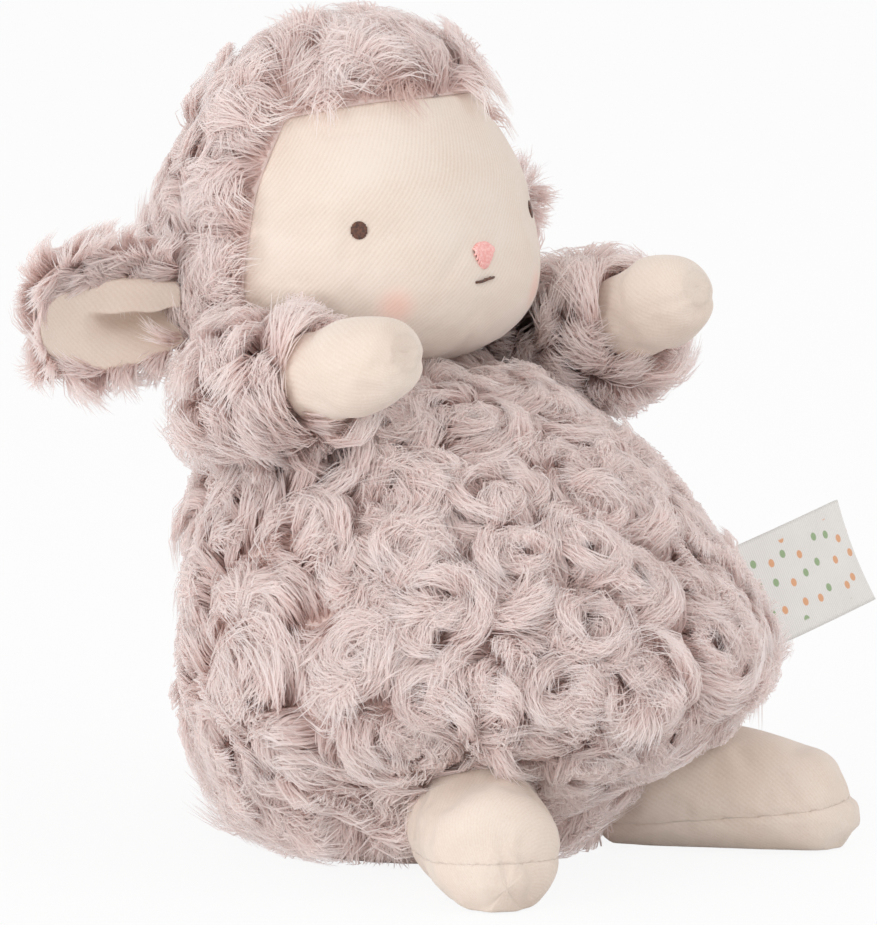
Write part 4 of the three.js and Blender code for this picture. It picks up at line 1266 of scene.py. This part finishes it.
def build_face():
    """Velour that is sewn to the hood and held down by its stitches."""
    share, angle, faces = covered(head_form, ["face"], 1.4 * MM, VELOUR, 8.0 * MM, HOOD_PANELS)
    share, angle = sewn_edge(head_form, share, angle, faces, VELOUR, face_window)
    cloth, lap = head_form.cloth(share, angle)
    points = head_form.points(share, angle, VELOUR - 0.5 * MM)
    face = mesh_piece("face_cloth", points, faces, face_finish, cloth, lap)
    held = border(face)
    points = coordinates(face)
    for height, degrees, reach in FACE_STITCHES:
        held |= np.linalg.norm(points - head_form.seat(height * MM, degrees, VELOUR)[0], axis=1) < reach * MM
    stuffed(face, held, 0.6 * MM, 4.0)
    walled(face)
    dress(face, "head", "face")


# The pitch and the shift of each wave of a gathered seam
PUCKERS = ((1.7 * MM, 0.0), (2.9 * MM, 1.0))
GATHER_REACH = 2.6 * MM


def seamed(piece, distance, depth, width, gather, run):
    """Press a seam into a piece, and gather the cloth beside it."""
    points, out = coordinates(piece), normals(piece)
    pucker = sum(np.sin(run * 2 * math.pi / pitch + shift) for pitch, shift in PUCKERS) / len(PUCKERS)
    below = np.exp(-np.abs(distance) / GATHER_REACH) * np.where(distance < 0, 1.0, 0.45)
    press = depth * np.exp(-(distance / width) ** 2) + gather * pucker * below
    set_coordinates(piece, points - out * press[:, None])


PAW_STEP = 1.2 * MM
PAW_SEAM_DROP = 2.2 * MM
PAW_SEAM_WIDTH = 0.5 * MM


def build_paw(side):
    """A velour mitten with a seam round it."""
    piece = velour_form(f"{side}_paw_cloth", paw_forms[side], [f"{side}_paw"], PAW_STEP, VELOUR, 4.0 * MM)
    axes = arm_axes(side)
    local = (coordinates(piece) - axes[:3, 3]) @ axes[:3, :3]
    seam = local[:, 1] + PAW_SEAM_DROP
    seamed(piece, seam, 0.3 * MM, PAW_SEAM_WIDTH, 0.05 * MM, local[:, 2])
    stuffed(piece, border(piece) | (np.abs(seam) < PAW_SEAM_WIDTH), 0.5 * MM, 3.0)
    walled(piece)
    dress(piece, f"{side}_arm", f"{side}_paw")


SEAM_DEPTH = {"right": 0.4, "left": 0.8}
SEAM_GATHER = {"right": 0.12, "left": 0.24}
HEEL_SEAM_HEIGHT = 4.5
TOE_SEAM_HEIGHT = 9.8
FOOT_STEP = 1.5 * MM
FOOT_NODE_REACH = 30 * MM
HEEL_CAP = 4 * MM
TOE_TUCK = 2.5 * MM
CREASE_DEPTH = 0.55 * MM
DIMPLE_DEPTH = 0.6 * MM


def build_foot(side):
    """A velour foot, swelled whole and then parted along its seam into an upper and a sole."""
    nodes = [f"{side}_foot_upper", f"{side}_foot_sole"]
    piece = velour_form(f"{side}_foot_cloth", foot_forms[side], nodes, FOOT_STEP, 0.0, FOOT_NODE_REACH, HEEL_CAP)
    points = coordinates(piece)
    points[:, 2] = np.maximum(points[:, 2], 0.0)
    axes = foot_axes(side)
    forward, across = axes[:3, 2], axes[:3, 0]
    lean = math.atan2(TOE_SEAM_HEIGHT - HEEL_SEAM_HEIGHT, FOOT_LENGTH)
    rise = UP * math.cos(lean) - forward * math.sin(lean)
    toe = axes[:3, 3] + forward * FOOT_REACH[side] * MM + UP * TOE_SEAM_HEIGHT * MM
    behind = (points - toe) @ forward
    tucked = smooth_step(behind, -7 * MM, 0.0) * (1 - smooth_step(points[:, 2], 0.0, 6 * MM))
    points -= forward * (TOE_TUCK * tucked)[:, None]
    set_coordinates(piece, points)
    local = points - toe
    seam, behind, aside = local @ rise, local @ forward, local @ across
    run = np.arctan2(aside, -behind + 6 * MM) * 16 * MM - behind
    seamed(piece, seam, SEAM_DEPTH[side] * MM, 0.7 * MM, SEAM_GATHER[side] * MM, run)
    points, out = coordinates(piece), normals(piece)
    crease = np.exp(-((aside + 0.25 * seam) / (0.8 * MM)) ** 2) * smooth_step(-seam, -8 * MM, 0.0)
    crease = crease * (seam > 0) * smooth_step(behind, -9 * MM, -3 * MM)
    dimple = np.exp(-(aside ** 2 + seam ** 2) / (2.2 * MM) ** 2) * (behind > -6 * MM)
    set_coordinates(piece, points - out * (CREASE_DEPTH * crease + DIMPLE_DEPTH * dimple)[:, None])
    stuffed(piece, border(piece) | (np.abs(seam) < 0.8 * MM) | (points[:, 2] < 0.2 * MM), 0.7 * MM, 3.0)
    for part, way in (("upper", 1), ("sole", -1)):
        node = f"{side}_foot_{part}"
        half = link(f"{node}_cloth", piece.data.copy())
        form = bmesh.new()
        form.from_mesh(half.data)
        bmesh.ops.bisect_plane(form, geom=form.verts[:] + form.edges[:] + form.faces[:], dist=1e-6,
                               plane_co=toe, plane_no=rise * way, clear_inner=True)
        form.to_mesh(half.data)
        form.free()
        walled(half)
        dress(half, f"{side}_foot", node)
    discard(piece)


for side in SIDES:
    build_ear(side)
    build_paw(side)
    build_foot(side)
build_face()


# Inside: filling and the pellet bag, and the seat panel

def remeshed(name, node, voxel, material):
    """A copy of a CAD solid in even faces."""
    form = bmesh.new()
    form.from_mesh(NODES[node].data)
    bmesh.ops.remove_doubles(form, verts=form.verts, dist=1e-5)
    mesh = bpy.data.meshes.new(name)
    form.to_mesh(mesh)
    form.free()
    piece = link(name, mesh, material)
    modified(piece, "REMESH", mode="VOXEL", voxel_size=voxel)
    modified(piece, "SMOOTH", factor=0.5, iterations=4)
    settled(piece)
    piece.data.polygons.foreach_set("use_smooth", [True] * len(piece.data.polygons))
    piece.data.materials.clear()
    piece.data.materials.append(material)
    return piece


def lumpy(piece, depth, size, seed):
    """Press a piece in unevenly, so that it looks like loose fibre."""
    points, out = coordinates(piece), normals(piece)
    draw = np.random.default_rng(seed)
    waves = draw.normal(size=(7, 3)) * 2 * math.pi / size
    shifts = draw.uniform(0, 2 * math.pi, 7)
    swell = np.sin(points @ waves.T + shifts).sum(axis=1) / 7
    set_coordinates(piece, points - out * (depth * (0.5 + 0.9 * swell))[:, None])
    return piece


def drawn_in(piece, middle, low, high, share):
    """Draw a piece in towards an upright line, more and more from one height to another."""
    points = coordinates(piece)
    narrow = 1 - (1 - share) * smooth_step(points[:, 2], low, high)
    points[:, :2] = middle[:2] + (points[:, :2] - middle[:2]) * narrow[:, None]
    set_coordinates(piece, points)


NECK_HEIGHT = 87 * MM
# The size of a filling's faces, and the depth and size of its lumps
LARGE_FILLING = 2.4 * MM, 1.4 * MM, 14 * MM
SMALL_FILLING = 1.0 * MM, 0.5 * MM, 5 * MM
STUFFED = {"body": LARGE_FILLING, "head": LARGE_FILLING, "right_arm": SMALL_FILLING, "left_arm": SMALL_FILLING,
           "right_foot": SMALL_FILLING, "left_foot": SMALL_FILLING}
for seed, (body, (voxel, depth, size)) in enumerate(STUFFED.items()):
    node = f"{body}_stuffing"
    filling = lumpy(remeshed(f"{node}_fibre", node, voxel, fibre_finish), depth, size, 60 + seed)
    if body == "body":
        drawn_in(filling, pivot("head_nod") + (0, 6 * MM, 0), COLLAR_HEIGHT, NECK_HEIGHT, 0.4)
    dress(filling, body, node)
bag = lumpy(remeshed("pellet_bag_cloth", "pellet_bag", 1.8 * MM, bag_finish), 1.2 * MM, 9 * MM, 71)
dress(bag, "body", "pellet_bag")
seat = remeshed("base_panel_cloth", "base_panel", 1.5 * MM, seat_finish)
dress(seat, "body", "base_panel")
for scratch in (body_ground, body_hearts, head_ground, head_hearts):
    discard(scratch)


# Embroidery: threads laid side by side, each arched over the cloth

def satin_tree():
    """Round threads along stitches, each arched off the cloth."""
    net, value = new_tree("satin_stitch", "Stitches", {
        "Float": ("Thread radius", "Rise"), "Material": ("Finish",)}, "Threads")
    curve = net.node("GeometryNodeMeshToCurve", None, {"Mesh": value("Stitches")})
    curve = net.node("GeometryNodeResampleCurve", None, {"Curve": curve, "Count": 9})
    along = net.node("GeometryNodeSplineParameter", None, None, "Factor")
    out = net.node("GeometryNodeInputNamedAttribute", {"data_type": "FLOAT_VECTOR"}, {"Name": "out"})
    arch = (along * math.pi).sine() ** 0.5
    curve = net.node("GeometryNodeSetPosition", None, {
        "Geometry": curve, "Offset": out * (arch * value("Rise"))})
    section = net.node("GeometryNodeCurvePrimitiveCircle", {"mode": "RADIUS"}, {
        "Resolution": 7, "Radius": value("Thread radius")}, "Curve")
    threads = net.node("GeometryNodeCurveToMesh", None, {
        "Curve": curve, "Profile Curve": section, "Fill Caps": True})
    threads = net.node("GeometryNodeSetShadeSmooth", None, {"Geometry": threads})
    return end_tree(net, value, threads, ["out"], "Threads")


thread_tree = satin_tree()


STITCH_SINK = 0.45 * MM


def on_face(height, degrees, across, up):
    """A point of the face beside a seat on it, and the way out there."""
    at, _ = head_form.seat(height + up, degrees, VELOUR)
    girth = math.hypot(at[0], at[1] - HEAD_BACK * MM)
    return head_form.seat(height + up, degrees + math.degrees(across / girth), VELOUR - STITCH_SINK)


def embroider(node, height, degrees, stitches, radius, rise, material):
    """A patch of satin stitches: each goes from one place beside the seat to another."""
    points, outs, edges = [], [], []
    for start, end in stitches:
        for across, up in (start, end):
            at, out = on_face(height, degrees, across * MM, up * MM)
            points.append(at)
            outs.append(out)
        edges.append((len(points) - 2, len(points) - 1))
    mesh = bpy.data.meshes.new(f"{node}_stitches")
    mesh.from_pydata([tuple(point) for point in points], edges, [])
    piece = link(f"{node}_stitches", mesh)
    store(piece, "out", np.array(outs))
    set_inputs(modified(piece, "NODES", node_group=thread_tree), {
        "Thread radius": radius, "Rise": rise, "Finish": material})
    return settled(piece)


def spread(half, count):
    return [half * (2 * index / (count - 1) - 1) for index in range(count)]


EYE_HALF_WIDTH, EYE_HALF_HEIGHT = 1.5, 1.7


def eye_stitches():
    rows = []
    for across in spread(EYE_HALF_WIDTH * 0.93, 11):
        up = EYE_HALF_HEIGHT * math.sqrt(1 - (across / EYE_HALF_WIDTH) ** 2)
        rows.append(((across, -up), (across, up)))
    return rows


def nose_stitches():
    rows = []
    for across in spread(2.45, 13):
        share = abs(across) / 2.6
        top = 2.5 - 1.3 * share ** 2.6
        low = -2.7 + 3.2 * share ** 2.2
        rows.append(((across * 0.96, low), (across, top)))
    return rows


MOUTH_STITCHES = [((-2.6, -0.35), (0.1, 0.0)), ((-0.2, 0.05), (2.6, 0.25)), ((-1.6, -0.4), (1.5, 0.3))]
# Each patch's node, height, angle, stitches, thread radius, rise, finish and slot
EMBROIDERED = [
    ("right_eye", EYE_HEIGHT, -EYE_ANGLE, eye_stitches(), 0.26, 0.15, brown_finish, "brown_thread"),
    ("left_eye", EYE_HEIGHT, EYE_ANGLE, eye_stitches(), 0.26, 0.15, brown_finish, "brown_thread"),
    ("nose", NOSE_HEIGHT, 0, nose_stitches(), 0.27, 0.8, pink_finish, "pink_thread"),
    ("mouth", MOUTH_HEIGHT, 0, MOUTH_STITCHES, 0.26, 0.45, brown_finish, "brown_thread"),
]
for node, height, degrees, stitches, radius, rise, material, slot in EMBROIDERED:
    dress(embroider(node, height * MM, degrees, stitches, radius * MM, rise * MM, material), "head", node)


# Label: one strip of ribbon, folded double and bowed a little

LABEL_WIDTH = 22
LABEL_LENGTH = 41
LABEL_TILT = 10
LABEL_LAYER = 0.3
LABEL_SEWN_IN = 2.0
LABEL_LOOP = 0.55
LABEL_ROWS = 40
LABEL_COLUMNS = 22


def build_label():
    """The ribbon's rows run up one layer, round the fold and down the other."""
    seam_up = np.array(JOINTS["label_swing"]["axis"], float)
    tilt = math.radians(LABEL_TILT)
    side_way = np.array((1.0, 0.0, 0.0))
    length = side_way * math.cos(tilt) + seam_up * math.sin(tilt)
    width = seam_up * math.cos(tilt) - side_way * math.sin(tilt)
    out = np.cross(width, length)
    fold = LABEL_LENGTH - LABEL_LOOP
    straight = np.linspace(-LABEL_SEWN_IN, fold, LABEL_ROWS)
    bend = np.linspace(-math.pi / 2, math.pi / 2, 9)[1:-1]
    run = np.concatenate([straight, fold + LABEL_LOOP * np.cos(bend), straight[::-1]])
    gap = LABEL_LOOP * np.concatenate([np.full(LABEL_ROWS, -1), np.sin(bend), np.full(LABEL_ROWS, 1)])
    track = np.concatenate([[0], np.cumsum(np.hypot(np.diff(run), np.diff(gap)))])
    across = np.linspace(-LABEL_WIDTH / 2, LABEL_WIDTH / 2, LABEL_COLUMNS)
    row, column = np.meshgrid(np.arange(len(run)), np.arange(len(across)), indexing="ij")
    share = np.clip(run[row] / LABEL_LENGTH, 0, 1)
    bow = 1.6 * share ** 2 * np.cos(across[column] / LABEL_WIDTH * 2.2) - 0.9 * np.sin(share * math.pi)
    places = (run[row][..., None] * length + (gap[row] + bow)[..., None] * out
              + across[column][..., None] * width) * MM + pivot("label_swing")
    corner = np.arange(row.size).reshape(row.shape)
    faces = np.stack([corner[:-1, :-1], corner[:-1, 1:], corner[1:, 1:], corner[1:, :-1]], -1).reshape(-1, 4)
    flat = np.stack([column.ravel() / (len(across) - 1), track[row.ravel()] / track[-1]], -1)
    piece = mesh_piece("label_ribbon", places.reshape(-1, 3), faces, ribbon_finish, flat, layer="ribbon")
    modified(piece, "SOLIDIFY", thickness=LABEL_LAYER * MM, offset=0.0)
    settled(piece)
    dress(piece, "label_loop", "label")


build_label()


# Floor and light

WHITE = (1, 1, 1, 1)
FLOOR_GREY = (0.86, 0.86, 0.86, 1)
FLOOR_GLOW = 0.9
FLOOR_HALF = 3.0
FLOOR_DROP = 0.3 * MM
WORLD_LIGHT = 0.8
LAMP_AIM = (0, 0, 90 * MM)
# Each lamp's place, size and power
LAMPS = {"key_lamp": ((0.4, -1.0, 0.9), 0.7, 2.8), "fill_lamp": ((-1.15, 0.0, 0.25), 0.8, 5.8)}


def pale_stage(net, shader):
    """White to the eye and in reflections, with the lamb's shadow left on it."""
    paint(net, shader, FLOOR_GREY)
    soft(shader, 1.0)
    glow = net.node("ShaderNodeEmission", None, {"Color": WHITE, "Strength": 1.0})
    mixed_with(net, shader, seen_directly(net) * FLOOR_GLOW, glow)


def lay_floor():
    corners = [(x * FLOOR_HALF, y * FLOOR_HALF, 0) for x, y in ((-1, -1), (1, -1), (1, 1), (-1, 1))]
    floor = mesh_piece("floor", corners, [(0, 1, 2, 3)], finish_material("pale_stage", pale_stage))
    floor.location.z = -FLOOR_DROP


def light_world():
    world = bpy.data.worlds.new("studio")
    bpy.context.scene.world = world
    world.use_nodes = True
    net = Net(world.node_tree)
    shade = next(node for node in net.tree.nodes if node.type == "BACKGROUND")
    shade.inputs["Color"].default_value = WHITE
    net.feed(shade.inputs["Strength"], seen_directly(net) * (1 - WORLD_LIGHT) + WORLD_LIGHT)


def hang_lamp(name, at, size, power):
    lamp = bpy.data.lights.new(name, "AREA")
    lamp.shape, lamp.size, lamp.energy = "DISK", size, power
    hung = bpy.data.objects.new(name, lamp)
    bpy.context.scene.collection.objects.link(hung)
    hung.location = at
    hung.rotation_euler = (Vector(LAMP_AIM) - Vector(at)).to_track_quat("-Z", "Y").to_euler()


lay_floor()
light_world()
for name, lamp in LAMPS.items():
    hang_lamp(name, *lamp)
bpy.context.scene.view_settings.view_transform = "Standard"
